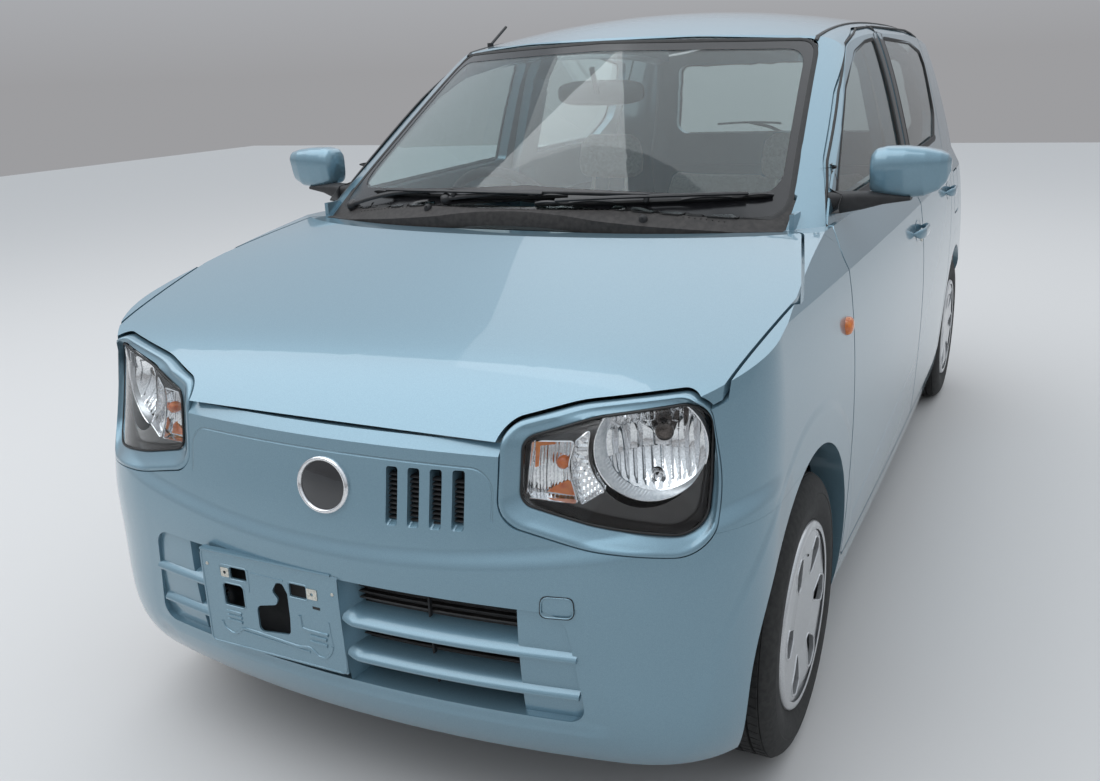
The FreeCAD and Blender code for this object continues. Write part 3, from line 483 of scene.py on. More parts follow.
# Headlamps: a clear lens set back in a painted surround with a wide bevel, over a
# dark mask. Behind it sit a round chromed reflector with upright flutes, its bulb
# shield and a small eyelet, a fluted segment beside it and a framed turn unit.
BEZEL = [(0.330, 0.790, 0.035), (0.440, 0.820, 0.300), (0.634, 0.846, 0.045), (0.661, 0.700, 0.400),
    (0.656, 0.588, 0.048), (0.480, 0.604, 0.400), (0.327, 0.636, 0.048)]
LENS = [(0.362, 0.772, 0.025), (0.470, 0.806, 0.200), (0.637, 0.832, 0.040), (0.642, 0.700, 0.300),
    (0.641, 0.616, 0.038), (0.480, 0.640, 0.300), (0.360, 0.666, 0.025)]
chrome = finish_of("lamp_chrome", (0.72, 0.73, 0.74), (0.90, 0.90, 0.91), 0.07, 300.0, metal=1.0)
pale_chrome = finish_of("frosted_chrome", (0.62, 0.65, 0.68), (0.78, 0.80, 0.82), 0.38, 200.0, metal=0.85)
mask_black = finish_of("lamp_mask", (0.010, 0.008, 0.007), (0.020, 0.015, 0.013), 0.22, 30.0, coat=0.6)
seal_black = finish_of("seal_rubber", (0.008, 0.008, 0.008), (0.015, 0.015, 0.015), 0.6, 90.0, relief=0.1)
# Dark chrome for the bulb shield: partly the cap's own dark tip, partly painted shade for the shadow round it
shield_chrome_painted_shade = finish_of("bulb_shield_painted_shade", (0.060, 0.052, 0.046), (0.12, 0.10, 0.09), 0.18, metal=0.9)

lamp_glass, nodes, links, shader = new_material("lamp_glass")
shader.inputs["Base Color"].default_value = (0.97, 0.98, 0.98, 1)
shader.inputs["Transmission Weight"].default_value = 1.0
shader.inputs["Roughness"].default_value = 0.0
shader.inputs["IOR"].default_value = 1.25
# Amber for the turn bulb, also used for the flat patches that paint its reflection
amber, nodes, links, shader = new_material("amber_bulb_and_reflections")
place = mottled(nodes, links, shader, "Base Color", (0.75, 0.13, 0.01), (1.0, 0.26, 0.03), 90.0)
shader.inputs["Roughness"].default_value = 0.15
shader.inputs["Transmission Weight"].default_value = 0.35
shader.inputs["Coat Weight"].default_value = 0.8

# The lens face as a smooth surface y(x, z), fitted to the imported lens
lens_skin = skin_of("headlamp_lenses")
rows = []
deep = []
lens_loop = outline(LENS, -0.004)
for i in range(30):
    for j in range(24):
        x = 0.362 + 0.28 * i / 29
        z = 0.612 + 0.22 * j / 23
        if inside(Vector((x, z)), lens_loop):
            point, normal = touch(lens_skin, (x, -2.0, z), (0, 1, 0))
            u = x - 0.5
            v = z - 0.72
            rows.append([1, u, u * u, u ** 3, u ** 4, v, v * v, u * v, u * u * v])
            deep.append(point.y)
lens_fit = numpy.linalg.lstsq(numpy.array(rows), numpy.array(deep), rcond=None)[0]


def fitted(x, z):
    u = x - 0.5
    v = min(z, 0.80) - 0.72
    return float(numpy.dot(lens_fit, [1, u, u * u, u ** 3, u ** 4, v, v * v, u * v, u * u * v]))


# The nose rounds back into the bonnet's crown over the lamps: y, height at the middle, fall at x = 0.7
CROWN = numpy.array([(-1.760, 0.600, 0.025), (-1.700, 0.690, 0.015), (-1.660, 0.757, 0.012),
    (-1.600, 0.806, 0.009), (-1.520, 0.848, 0.010), (-1.400, 0.890, 0.013), (-1.200, 0.945, 0.021)])


def nose_y(x, z, depth):
    slope = (fitted(x + 0.004, z) - fitted(x - 0.004, z)) / 0.008
    lean = math.sqrt(1 + slope * slope)
    face = fitted(x, z) - 0.015 * lean
    heights = CROWN[:, 1] - CROWN[:, 2] * (x / 0.7) ** 2
    crown = float(numpy.interp(z, heights, CROWN[:, 0]))
    return (face + crown + math.sqrt((face - crown) ** 2 + 0.012 ** 2)) / 2 + depth * lean


def lens_y(x, z):
    return nose_y(x, z, 0.0135)


# Painted surround: a rounded outer edge, a narrow land and a bevel down to the lens
def about_middle(loop, count):
    middle = Vector((0.505, 0.712))
    out = []
    for k in range(count):
        t = 2 * math.pi * k / count
        way = Vector((math.cos(t), math.sin(t)))
        for i in range(len(loop)):
            a = loop[i - 1] - middle
            b = loop[i] - middle
            run = b - a
            cross = way.x * run.y - way.y * run.x
            if abs(cross) < 1e-12:
                continue
            part = (a.x * way.y - a.y * way.x) / cross
            far = (a.x * run.y - a.y * run.x) / cross
            if 0 <= part <= 1 and far > 0:
                out.append(middle + way * far)
                break
    return out


outer_loop = about_middle(outline(BEZEL, -0.0006), 240)
inner_loop = about_middle(outline(LENS, 0.0008), 240)
land = [(0.0, 0.0140), (0.0, 0.0030), (0.03, 0.0008), (0.10, 0.0), (0.24, 0.0002), (0.32, 0.0016),
    (0.40, 0.0042), (0.62, 0.0085), (0.86, 0.0122), (0.96, 0.0136), (1.0, 0.0150), (1.0, 0.0210)]
corners = []
for outer_point, inner_point in zip(outer_loop, inner_loop):
    for t, down in land:
        flat = outer_point.lerp(inner_point, t)
        corners.append(Vector((flat.x, nose_y(flat.x, flat.y, down), flat.y)))
wide = len(land)
surround = make_pair("lamp_surround", corners, quads(240, wide, ring=True), paint, "car", "car", 55.0)
for piece in surround:
    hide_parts("headlamp_surrounds")

# Lens: a clear moulding 3 mm thick that stands in the surround's opening
def filled(loop, rings, places):
    middle = sum(loop, Vector((0, 0))) / len(loop)
    count = len(loop)
    corners = []
    faces = []
    for place in places:
        base = len(corners)
        for j in range(rings):
            corners += [place(*(middle + (p - middle) * (1 - j / rings))) for p in loop]
        corners.append(place(*middle))
        for j in range(rings - 1):
            a = base + j * count
            faces += [(a + k, a + (k + 1) % count, a + count + (k + 1) % count, a + count + k)
                for k in range(count)]
        a = base + (rings - 1) * count
        faces += [(a + k, a + (k + 1) % count, base + rings * count) for k in range(count)]
    if len(places) == 2:
        back = rings * count + 1
        faces += [(k, (k + 1) % count, back + (k + 1) % count, back + k) for k in range(count)]
    return corners, faces


lens_rim = spaced(outline(LENS, -0.0010), 150)
corners, faces = filled(lens_rim, 16, [lambda x, z: Vector((x, lens_y(x, z), z)),
    lambda x, z: Vector((x, lens_y(x, z) + 0.003, z))])
for piece in make_pair("lamp_lens", corners, faces, lamp_glass, "car", "car"):
    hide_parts("headlamp_lenses")

seal_line = [Vector((p.x, lens_y(p.x, p.y) - 0.0005, p.y)) for p in spaced(outline(LENS, -0.0012), 160)]
make_pair("lamp_seal", *swept(seal_line, [FORWARD] * 160, round_section(0.0022, 6), closed=True), seal_black,
    "car", "car")

# Reflector bowl in its own plane: across, up, and axis pointing out of the lamp
TILT = math.radians(25)
BOWL = Vector((0.559, -1.536, 0.757))
across = Vector((math.cos(TILT), math.sin(TILT), 0))
inward = Vector((-math.sin(TILT), math.cos(TILT), 0))
upward = Z_WAY
inner_lens = outline(LENS, -0.0035, 0.003)


def in_bowl(u, v, depth):
    at = BOWL + across * u + upward * v + inward * depth
    return Vector((at.x, max(at.y, lens_y(at.x, at.z) + 0.0045), at.z))


def room(cu, cv, turn, reach):
    low = 0.0
    high = reach
    for step in range(16):
        mid = (low + high) / 2
        at = in_bowl(cu + math.cos(turn) * mid, cv + math.sin(turn) * mid, 0.0)
        if inside(Vector((at.x, at.z)), inner_lens):
            low = mid
        else:
            high = mid
    return reach if high > reach * 0.999 else low


TURNS = 288
rim = []
mouth = []
for k in range(TURNS):
    t = 2 * math.pi * k / TURNS
    rim.append(room(-0.012, -0.007, t, 0.090))
    mouth.append(min(room(0.0, 0.0, t, 0.083), 0.083))
corners = []
for k in range(TURNS):
    t = 2 * math.pi * k / TURNS
    rib = 0.0006 * math.sin(k * 2 * math.pi / 3) if 3.4 < t < 4.6 else 0.0
    corners.append(in_bowl(-0.012 + rim[k] * math.cos(t), -0.007 + rim[k] * math.sin(t), 0.0))
    corners.append(in_bowl(-0.006 + (rim[k] + mouth[k]) / 2 * math.cos(t),
        -0.0035 + (rim[k] + mouth[k]) / 2 * math.sin(t), 0.003 + rib))
    corners.append(in_bowl(mouth[k] * math.cos(t), mouth[k] * math.sin(t), 0.011 + rib))
make_pair("reflector_flange", corners, quads(TURNS, 3, ring=True), pale_chrome, "car", "car", 30.0)

RINGS = 56
corners = []
for i in range(RINGS + 1):
    part = 1 - i / RINGS
    for k in range(TURNS):
        t = 2 * math.pi * k / TURNS
        r = mouth[k] * part
        u = r * math.cos(t)
        v = r * math.sin(t)
        depth = 0.011 + 0.052 * (1 - part * part)
        if part > 0.98 or part < 0.04:
            wave = 0.0
        elif v > 0.022:
            wave = 0.0022 * abs(math.sin(u * 190 + 0.6))
        elif v > -0.022:
            wave = 0.0030 * abs(math.sin(u * 150)) + (0.003 if u < -0.03 else 0.0)
        else:
            wave = 0.0026 * abs(math.sin(u * 230 + 1.0))
        if u > 0.036:
            wave = 0.0034 * abs(math.sin(u * 210 + v * 8))
        corners.append(in_bowl(u, v, depth - wave * min(1.0, (1 - part) * 8)))
reflector = make_pair("reflector_bowl", corners, quads(RINGS, TURNS, around=True), chrome, "car", "car", 22.0)

rim_line = [in_bowl(-0.012 + rim[k] * math.cos(2 * math.pi * k / TURNS),
    -0.007 + rim[k] * math.sin(2 * math.pi * k / TURNS), -0.0005) for k in range(0, TURNS, 2)]
make_pair("reflector_rim", *swept(rim_line, [-inward] * len(rim_line), round_section(0.0015, 6), closed=True),
    chrome, "car", "car")

# The shield's dark colour is partly painted shade, the shadow round the bulb cap
shield = turned([(0.058, 0.0150), (0.030, 0.0155), (0.0265, 0.0145), (0.0245, 0.0115), (0.0235, 0.0060),
    (0.0235, 0.0005)], in_bowl(0.012, 0.011, 0), inward, 32)
make_pair("bulb_shield_painted_shade", *shield, shield_chrome_painted_shade, "car", "car")
eyelet = turned([(0.052, 0.0105), (0.024, 0.0105), (0.0225, 0.0098), (0.0222, 0.0088), (0.024, 0.0076),
    (0.036, 0.0070)], in_bowl(0.001, -0.063, 0), inward, 28)
make_pair("eyelet_ring", *eyelet, chrome, "car", "car")
hole = turned([(0.034, 0.0069), (0.034, 0.0030), (0.0335, 0.0005)], in_bowl(0.001, -0.063, 0), inward, 24)
make_pair("eyelet_hole", *hole, mask_black, "car", "car")

# Turn unit: a chromed frame and fluted back, an amber bulb, and the fluted segment beside it
FRAME = [(0.3690, 0.7620, 0.004), (0.4385, 0.7660, 0.004), (0.4300, 0.7290, 0.030), (0.4350, 0.7040, 0.020),
    (0.4480, 0.6660, 0.004), (0.3620, 0.6690, 0.004)]
SEGMENT = [(0.4620, 0.7850, 0.002), (0.4590, 0.7500, 0.080), (0.4650, 0.7200, 0.080), (0.4880, 0.6880, 0.002),
    (0.4540, 0.6645, 0.003), (0.4390, 0.7000, 0.040), (0.4350, 0.7320, 0.040), (0.4410, 0.7665, 0.004)]


def behind_lens(x, z, depth):
    return Vector((x, lens_y(x, z) + 0.0080 + depth, z))


mask_border = [Vector((p.x, p.y)) for p in outline(LENS, -0.0010)]
rim_hole = [Vector((p.x, p.z))
    for p in (in_bowl(-0.012 + (rim[k] - 0.0004) * math.cos(2 * math.pi * k / TURNS),
    -0.007 + (rim[k] - 0.0004) * math.sin(2 * math.pi * k / TURNS), 0) for k in range(0, TURNS, 3))]
mask_holes = [rim_hole, outline(FRAME, 0.0005, 0.003), outline(SEGMENT, 0.0005, 0.003)]
make_pair("lamp_mask", *sheet_of(mask_border, mask_holes, lambda x, z, d: behind_lens(x, z,
    0.011 + 0.010 * max(0.0, (0.70 - z) / 0.08))), mask_black, "car", "car")
wall_line = spaced(outline(LENS, -0.0010), 140)
corners = []
for p in wall_line:
    base = behind_lens(p.x, p.y, 0.011 + 0.010 * max(0.0, (0.70 - p.y) / 0.08))
    corners += [Vector((p.x, lens_y(p.x, p.y) + 0.0045, p.y)), base + Vector((0, 0.0005, 0))]
make_pair("lamp_wall", corners, quads(140, 2, ring=True), mask_black, "car", "car")

for name, loop, deep in (("turn_unit", FRAME, 0.024), ("fluted_segment", SEGMENT, 0.013)):
    line = spaced(outline(loop, 0.0, 0.003), 96)
    frame_line = [behind_lens(p.x, p.y, 0.0100) for p in line]
    make_pair(name + "_frame", *swept(frame_line, [Vector((0.2, -1, 0)).normalized()] * 96,
        [(-0.0013, 0.0006), (0.0004, 0.0016), (0.0012, 0.0), (0.0010, -0.0020), (-0.0013, -0.0020)],
        closed=True), chrome, "car", "car")
    middle = sum(line, Vector((0, 0))) / 96
    corners = []
    for p in line:
        q = middle + (p - middle) * 0.93
        corners += [behind_lens(p.x, p.y, 0.0105), behind_lens(q.x, q.y, 0.0105 + deep)]
    faces = quads(96, 2, ring=True)
    make_pair(name + "_walls", corners, faces, chrome, "car", "car", 20.0)
    low = min(p.y for p in line)
    tall = max(p.y for p in line) - low
    left = min(p.x for p in line)
    broad = max(p.x for p in line) - left
    corners = []
    for i in range(61):
        for j in range(31):
            x = left + broad * i / 60
            z = low + tall * j / 30
            if name == "turn_unit":
                wave = 0.0022 * abs(math.sin((x - left) * 520)) + 0.006 * math.cos((z - low
                    - tall / 2) / tall * 2.6)
            else:
                swing = math.atan2(z - 0.75, x - 0.548)
                wave = 0.0026 * abs(math.sin(swing * 34)) + 0.002 * math.cos((z - low) * 60)
            corners.append(behind_lens(x, z, 0.0105 + deep - wave))
    faces = []
    for i in range(60):
        for j in range(30):
            x = left + broad * (i + 0.5) / 60
            z = low + tall * (j + 0.5) / 30
            if inside(Vector((x, z)), line):
                faces.append((i * 31 + j, i * 31 + j + 1, (i + 1) * 31 + j + 1, (i + 1) * 31 + j))
    make_pair(name + "_flutes", corners, faces, chrome, "car", "car", 25.0)

bulb = turned([(-0.017, 0.0005), (-0.0165, 0.0050), (-0.0135, 0.0090), (-0.0080, 0.0112), (0.0, 0.0112),
    (0.006, 0.0080), (0.010, 0.0080)], behind_lens(0.4175, 0.729, 0.024), (-0.15, 1, 0), 24)
make_pair("turn_bulb", *bulb, amber, "car", "car")
# Two flat amber patches inside the turn unit are painted reflections of the bulb on its chrome walls
painted_amber_patch = [behind_lens(x, z, 0.0255 + 0.0010 * math.sin(i))
    for i, (x, z) in enumerate([(0.390, 0.676), (0.438, 0.672), (0.434, 0.690), (0.424, 0.697),
    (0.402, 0.686)])]
make_pair("amber_reflection", painted_amber_patch, [(0, 1, 2, 3, 4)], amber, "car", "car")
painted_amber_patch = [behind_lens(x, z, 0.0200) for x, z in [(0.371, 0.716), (0.377, 0.718), (0.379, 0.752), (0.404, 0.756),
    (0.402, 0.761), (0.371, 0.758)]]
make_pair("amber_edge_reflection", painted_amber_patch, [(0, 1, 2, 3, 4, 5)], amber, "car", "car")
for piece in reflector:
    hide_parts("headlamp_dishes")


# Nose panel: a plain ring where a badge would sit, four upright slots with black ribs
# behind them, and a fine lid over the towing eye. The ring is chromed plastic round a
# dark glossy disc, clipped through the bumper.
def fit_skin(skin, spots, powers):
    rows = []
    deep = []
    for x, z in spots:
        point, normal, index, far = skin.ray_cast(Vector((x, -2.0, z)), Y_WAY)
        if point is not None and point.y < -1.45:
            rows.append([x ** a * (z - 0.5) ** b for a, b in powers])
            deep.append(point.y)
    found = numpy.linalg.lstsq(numpy.array(rows), numpy.array(deep), rcond=None)[0]
    return lambda x, z: float(numpy.dot(found, [x ** a * (z - 0.5) ** b for a, b in powers]))


bumper_skin = skin_of("front_bumper")
nose_spots = [(-0.48 + 0.96 * i / 40, z) for i in range(41) for z in (0.23, 0.25, 0.27, 0.51, 0.53, 0.55,
    0.58, 0.60, 0.70, 0.72)]
bumper_y = fit_skin(bumper_skin, nose_spots, [(0, 0), (2, 0), (4, 0), (0, 1), (0, 2), (0, 3), (2, 1), (2, 2),
    (6, 0)])


def on_nose_at(x, z, depth=0.0):
    return Vector((x, bumper_y(x, z) + depth, z))


disc_black = finish_of("badge_disc", (0.008, 0.009, 0.011), (0.018, 0.019, 0.022), 0.12, 20.0, coat=1.0)
badge_face = bumper_y(0.0, 0.662)
badge_axis = (Vector((0, bumper_y(0, 0.682), 0.682))
    - Vector((0, bumper_y(0, 0.642), 0.642))).cross(X_WAY).normalized()
if badge_axis.y > 0:
    badge_axis = -badge_axis
badge_at = Vector((0, badge_face, 0.662))
badge_up = X_WAY.cross(badge_axis)
if badge_up.z < 0:
    badge_up = -badge_up
ring_profile = [(-0.006, 0.0540), (0.0005, 0.0545), (0.0040, 0.0530), (0.0056, 0.0505), (0.0052, 0.0480),
    (0.0035, 0.0462), (-0.004, 0.0455)]
corners = []
for lift, reach in ring_profile:
    for c, s in round_turns(96):
        corners.append(badge_at + badge_axis * lift + X_WAY * reach * c + badge_up * reach * 0.93 * s)
rows = len(ring_profile)
make_piece("badge_ring", corners, quads(rows, 96, ring=True, around=True), chrome, "car", 50.0)
corners = []
for lift, reach in [(-0.004, 0.0462), (0.0010, 0.0462), (0.0026, 0.0300), (0.0032, 0.0120), (0.0033, 0.0004)]:
    up = X_WAY.cross(badge_axis)
    for c, s in round_turns(72):
        corners.append(badge_at + badge_axis * lift + X_WAY * reach * c + up * reach * 0.93 * s)
faces = quads(4, 72, around=True)
faces.append(tuple(4 * 72 + k for k in range(72)))
faces.append(tuple(range(72)))
make_piece("badge_disc", corners, faces, disc_black, "car", 50.0)

black = finish_of("black_plastic", (0.012, 0.012, 0.013), (0.020, 0.020, 0.021), 0.55, relief=0.15,
    relief_scale=900.0)
# The rib black carries a faint brown tint, a painted reflection of the brownish light the ribs catch
brown_reflection_black = finish_of("grille_black_painted_reflection", (0.016, 0.014, 0.013), (0.030, 0.026, 0.024), 0.38, relief=0.1)
SLOTS = (0.138, 0.179, 0.220, 0.261)
for number, x in enumerate(SLOTS):
    bar = [Vector((x - 0.0135, bumper_y(x - 0.0135, 0.6) + 0.012, 0.5945)),
        Vector((x + 0.0135, bumper_y(x + 0.0135, 0.6) + 0.012, 0.5945))]
    corners, faces = swept(bar, [FORWARD] * 2, [(-0.0022, 0.0), (0.0, 0.0030), (0.0022, 0.0),
        (0.0022, -0.010), (-0.0022, -0.010)])
    repeated("slot_ribs_%d" % (number + 1), ROW, 13, (0, 0.0012, 0.0082), corners, faces, black, "car")
backing = [Vector((0.118, bumper_y(0.118, 0.6) + 0.022, 0.588)),
    Vector((0.282, bumper_y(0.282, 0.6) + 0.022, 0.588)),
    Vector((0.282, bumper_y(0.282, 0.7) + 0.034, 0.712)),
    Vector((0.118, bumper_y(0.118, 0.7) + 0.034, 0.712))]
make_piece("slot_backing", backing, [(0, 1, 2, 3)], black, "car")

lid_line = [on_nose_at(p.x, p.y, -0.0001)
    for p in spaced(outline([(0.401, 0.484, 0.009), (0.459, 0.486, 0.012), (0.457, 0.524, 0.009),
    (0.403, 0.522, 0.012)]), 72)]
make_piece("tow_lid_line", *swept(lid_line, [Vector((0.2, -1, 0)).normalized()] * 72,
    [(-0.0007, -0.0006), (-0.0007, 0.0003), (0.0007, 0.0003), (0.0007, -0.0006)], closed=True), seal_black,
    "car")
edge_line = [p + Vector((0.0, -0.0001, 0.0)) for p in [on_nose_at(q.x, q.y)
    for q in spaced(outline([(0.4025, 0.4855, 0.009), (0.4575, 0.4875, 0.012), (0.4555, 0.5225, 0.009),
    (0.4045, 0.5205, 0.012)]), 72)]]
make_piece("tow_lid_edge", *swept(edge_line, [Vector((0.2, -1, 0)).normalized()] * 72,
    round_section(0.0012, 6, 0.7), closed=True), paint, "car")


# Lower mouth: painted louvres that slope down and forward, blanked at their outer ends,
# with thin black ribs and posts behind. They clip into the bumper's back.
def mouth_point(x, z, depth):
    return Vector((x, bumper_y(x, z) + depth, z))


LOUVRE = [(0.0460, 0.0262), (0.0300, 0.0205), (0.0160, 0.0130), (0.0060, 0.0065), (0.0012, 0.0022),
    (0.0002, -0.0015), (0.0015, -0.0040), (0.0060, -0.0042), (0.0200, 0.0060), (0.0440, 0.0200)]
louvres = []
for front_z in (0.4085, 0.3350):
    for x0, x1 in ((0.0240, 0.4580), (-0.4630, -0.3020)):
        corners = []
        for i in range(49):
            x = x0 + (x1 - x0) * i / 48
            near = min(abs(x - 0.0240), abs(x + 0.3020))
            turn_up = 0.010 * max(0.0, 1 - near / 0.022) ** 2
            corners += [mouth_point(x, front_z + z + turn_up, depth) for depth, z in LOUVRE]
        wide = len(LOUVRE)
        faces = quads(48, wide, around=True, caps=True)
        louvres.append((corners, faces))
LIP = [(0.0500, 0.2990), (0.0300, 0.2935), (0.0120, 0.2885), (0.0020, 0.2852), (0.0020, 0.2800),
    (0.0500, 0.2800)]
for x0, x1 in ((0.0240, 0.4640), (-0.4720, -0.3020)):
    corners = []
    for i in range(49):
        x = x0 + (x1 - x0) * i / 48
        corners += [mouth_point(x, z, depth) for depth, z in LIP]
    wide = len(LIP)
    faces = quads(48, wide, around=True, caps=True)
    louvres.append((corners, faces))
# Blanked ends between the louvres, each with a rounded step where the open part begins
for side in (1, -1):
    for low, high in ((0.4120, 0.4960), (0.3380, 0.4130), (0.2830, 0.3400)):
        corners = []
        for i in range(13):
            t = i / 12
            x = side * (0.346 + 0.132 * t)
            step_in = 0.030 * max(0.0, 1 - (abs(x) - 0.346) / 0.012) ** 2
            for j in range(7):
                z = low + (high - low) * j / 6
                corners.append(mouth_point(x, z, 0.0125 + step_in))
        faces = quads(12, 7)
        louvres.append((corners, faces))
piece = make_piece("mouth_louvres", *joined(*louvres), paint, "car", 50.0)
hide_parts("bumper_slats")
cheeks = []
for x0, x1 in ((0.0226, 0.0420), (-0.3006, -0.3150)):
    corners = []
    for depth, part in ((-0.0020, 0.0), (0.0030, 0.03), (0.0200, 0.35), (0.0400, 0.8), (0.0500, 1.0)):
        for j in range(9):
            z = 0.2860 + 0.2080 * j / 8
            corners.append(mouth_point(x0 + (x1 - x0) * part, z, depth))
    cheeks.append((corners, quads(4, 9)))
make_piece("mouth_cheeks", *joined(*cheeks), paint, "car", 50.0)

ribs = []
for z in (0.4440, 0.4560, 0.4680, 0.4800, 0.3700, 0.3820, 0.3940, 0.3050, 0.3160, 0.3270):
    for x0, x1 in ((0.036, 0.352), (-0.352, -0.312)):
        line = [mouth_point(x0 + (x1 - x0) * i / 24, z, 0.0400) for i in range(25)]
        ribs.append(swept(line, [FORWARD] * 25, [(-0.0018, -0.010), (-0.0018, 0.0), (0.0, 0.0016),
            (0.0018, 0.0), (0.0018, -0.010)]))
# The ribs' brown tint is painted reflection
make_piece("mouth_ribs", *joined(*ribs), brown_reflection_black, "car")
posts = []
for x in (0.184, -0.330):
    for low, high in ((0.436, 0.490), (0.362, 0.405), (0.300, 0.332)):
        posts.append(swept([mouth_point(x, low, 0.032), mouth_point(x, high, 0.032)], [FORWARD] * 2,
            [(-0.0018, -0.008), (-0.0018, 0.0), (0.0, 0.0020), (0.0018, 0.0), (0.0018, -0.008)]))
make_piece("mouth_posts", *joined(*posts), black, "car")
back = []
for i in range(33):
    for j in range(5):
        x = -0.47 + 0.94 * i / 32
        back.append(mouth_point(x, 0.283 + 0.212 * j / 4, 0.0560))
make_piece("mouth_backing", back, quads(32, 5), black, "car")
dress("bumper_mesh", black)


# Plate panel: a pressed sheet in body colour, bare of any plate. Beads and ribs stiffen
# it, two bright spring nuts sit in its upper windows, and rivets hold its corners.
PANEL_FACE = -1.6950
steel = finish_of("bright_zinc", (0.52, 0.50, 0.44), (0.70, 0.69, 0.63), 0.28, 220.0, metal=0.95)


def bead(points, radius):
    line = [Vector((p.x, PANEL_FACE, p.y)) for p in smooth_line(points, 60)]
    return swept(line, [FORWARD] * len(line), round_section(radius, 8, 0.8))


raised = [bead([(-0.266, 0.350), (-0.262, 0.338), (-0.250, 0.330), (-0.237, 0.328), (-0.222, 0.338),
    (-0.209, 0.344), (-0.151, 0.340), (-0.088, 0.335), (-0.062, 0.338), (-0.050, 0.332), (-0.040, 0.324),
    (-0.024, 0.325), (-0.012, 0.338), (-0.006, 0.352)], 0.0030),
    bead([(-0.214, 0.3375), (-0.150, 0.3335), (-0.060, 0.3290)], 0.0024),
    bead([(-0.074, 0.401), (-0.073, 0.380), (-0.066, 0.375), (-0.040, 0.3735), (-0.014, 0.3735)], 0.0034),
    bead([(-0.181, 0.466), (-0.150, 0.4655), (-0.105, 0.465)], 0.0016),
    bead([(-0.188, 0.470), (-0.188, 0.440), (-0.190, 0.425)], 0.0016),
    bead([(-0.010, 0.400), (-0.008, 0.372), (-0.005, 0.352)], 0.0020),]
for z in (0.374, 0.365, 0.356):
    raised.append(bead([(-0.250, z), (-0.233, z + 0.0005), (-0.216, z - 0.001)], 0.0032))
for z in (0.364, 0.352):
    raised.append(bead([(-0.055, z), (-0.036, z), (-0.018, z - 0.001)], 0.0036))
for window in ([(-0.254, 0.386, 0.006), (-0.202, 0.386, 0.006), (-0.202, 0.435, 0.010),
        (-0.254, 0.435, 0.010)], [(-0.0945, 0.4350, 0.004), (-0.0515, 0.4350, 0.004),
        (-0.0515, 0.4655, 0.004), (-0.0945, 0.4655, 0.004)],
        [(-0.2545, 0.4435, 0.004), (-0.1900, 0.4435, 0.004), (-0.1900, 0.4715, 0.004),
        (-0.2545, 0.4715, 0.004)]):
    loop = [Vector((p.x, PANEL_FACE, p.y)) for p in spaced(outline(window), 60)]
    raised.append(swept(loop, [FORWARD] * 60, round_section(0.0013, 6, 0.8), closed=True))
frame_loop = [Vector((p.x, PANEL_FACE + 0.0002, p.y))
    for p in spaced(outline([(-0.2975, 0.3025, 0.008), (0.0195, 0.3025, 0.008), (0.0195, 0.4945, 0.008),
    (-0.2975, 0.4945, 0.008)]), 160)]
raised.append(swept(frame_loop, [FORWARD] * 160, round_section(0.0022, 8, 0.8), closed=True))
make_piece("plate_panel_beads", *joined(*raised), paint, "car")
flange = [Vector((-0.296, PANEL_FACE - 0.001, 0.4975)), Vector((0.006, PANEL_FACE - 0.001, 0.4975))]
make_piece("plate_panel_flange", *swept(flange, [FORWARD] * 2, [(-0.0020, -0.011), (-0.0020, 0.0016),
    (0.0010, 0.0030), (0.0030, 0.0008), (0.0030, -0.011)]), paint, "car")

nuts = []
for x0, x1, z0, z1 in ((-0.2520, -0.2330, 0.4470, 0.4660), (-0.0520, -0.0290, 0.4400, 0.4610)):
    hole = [Vector(((x0 + x1) / 2 + 0.0032 * math.cos(t * math.pi / 8),
        (z0 + z1) / 2 + 0.0032 * math.sin(t * math.pi / 8))) for t in range(16)]
    border = outline([(x0, z0, 0.002), (x1, z0, 0.002), (x1, z1, 0.002), (x0, z1, 0.002)])
    nuts.append(sheet_of(border, [hole], lambda x, z, d: Vector((x, PANEL_FACE - 0.0014 + d, z)), 0.0012))
make_piece("spring_nuts", *joined(*nuts), steel, "car")
rivet = turned([(-0.002, 0.0035), (0.0006, 0.0034), (0.0016, 0.0024), (0.0020, 0.0004)],
    Vector((-0.2845, PANEL_FACE, 0.467)), (0, -1, 0), 12)
repeated("plate_panel_rivets", ROW, 2, (0.2895, 0, -0.008), *rivet, steel, "car")
slot_line = [Vector((-0.042, PANEL_FACE - 0.0003, 0.4240)), Vector((-0.026, PANEL_FACE - 0.0003, 0.4235))]
make_piece("plate_panel_slot", *swept(slot_line, [FORWARD] * 2, [(-0.0024, -0.001), (-0.0024, 0.0004),
    (0.0024, 0.0004), (0.0024, -0.001)]), seal_black, "car")


# Windscreen: laminated glass bonded to the frame behind a black printed band, with a
# rubber moulding along its edge. The mirror inside hangs from a bonded foot.
window_glass, nodes, links, shader = new_material("window_glass")
shader.inputs["Base Color"].default_value = (0.70, 0.80, 0.80, 1)
shader.inputs["Transmission Weight"].default_value = 1.0
shader.inputs["Roughness"].default_value = 0.0
shader.inputs["IOR"].default_value = 1.45
for name in ("windscreen", "tailgate_glass", "glass_front_left", "glass_front_right", "glass_rear_left",
        "glass_rear_right"):
    dress(name, window_glass)
band_black = finish_of("printed_band", (0.006, 0.006, 0.007), (0.010, 0.010, 0.011), 0.18)
screen_skin = skin_of("windscreen")
SCREEN = [(-0.582, 1.006, 0.030), (0.0, 1.030, 0.0), (0.582, 1.006, 0.030), (0.507, 1.374, 0.050),
    (0.0, 1.388, 0.0), (-0.507, 1.374, 0.050)]


def on_screen(x, z, lift=0.0):
    for trial in ((x, z), (x * 0.992, z), (x * 0.985, z - 0.004), (x * 0.97, z)):
        point, normal, index, far = screen_skin.ray_cast(Vector((trial[0], -2.0, trial[1])), Y_WAY)
        if point is not None:
            break
    if point is None:
        point, normal, index, far = screen_skin.find_nearest(Vector((x, -0.9 + (z - 1.03) * 1.5, z)))
    if normal.y > 0:
        normal = -normal
    return point + normal * lift, normal


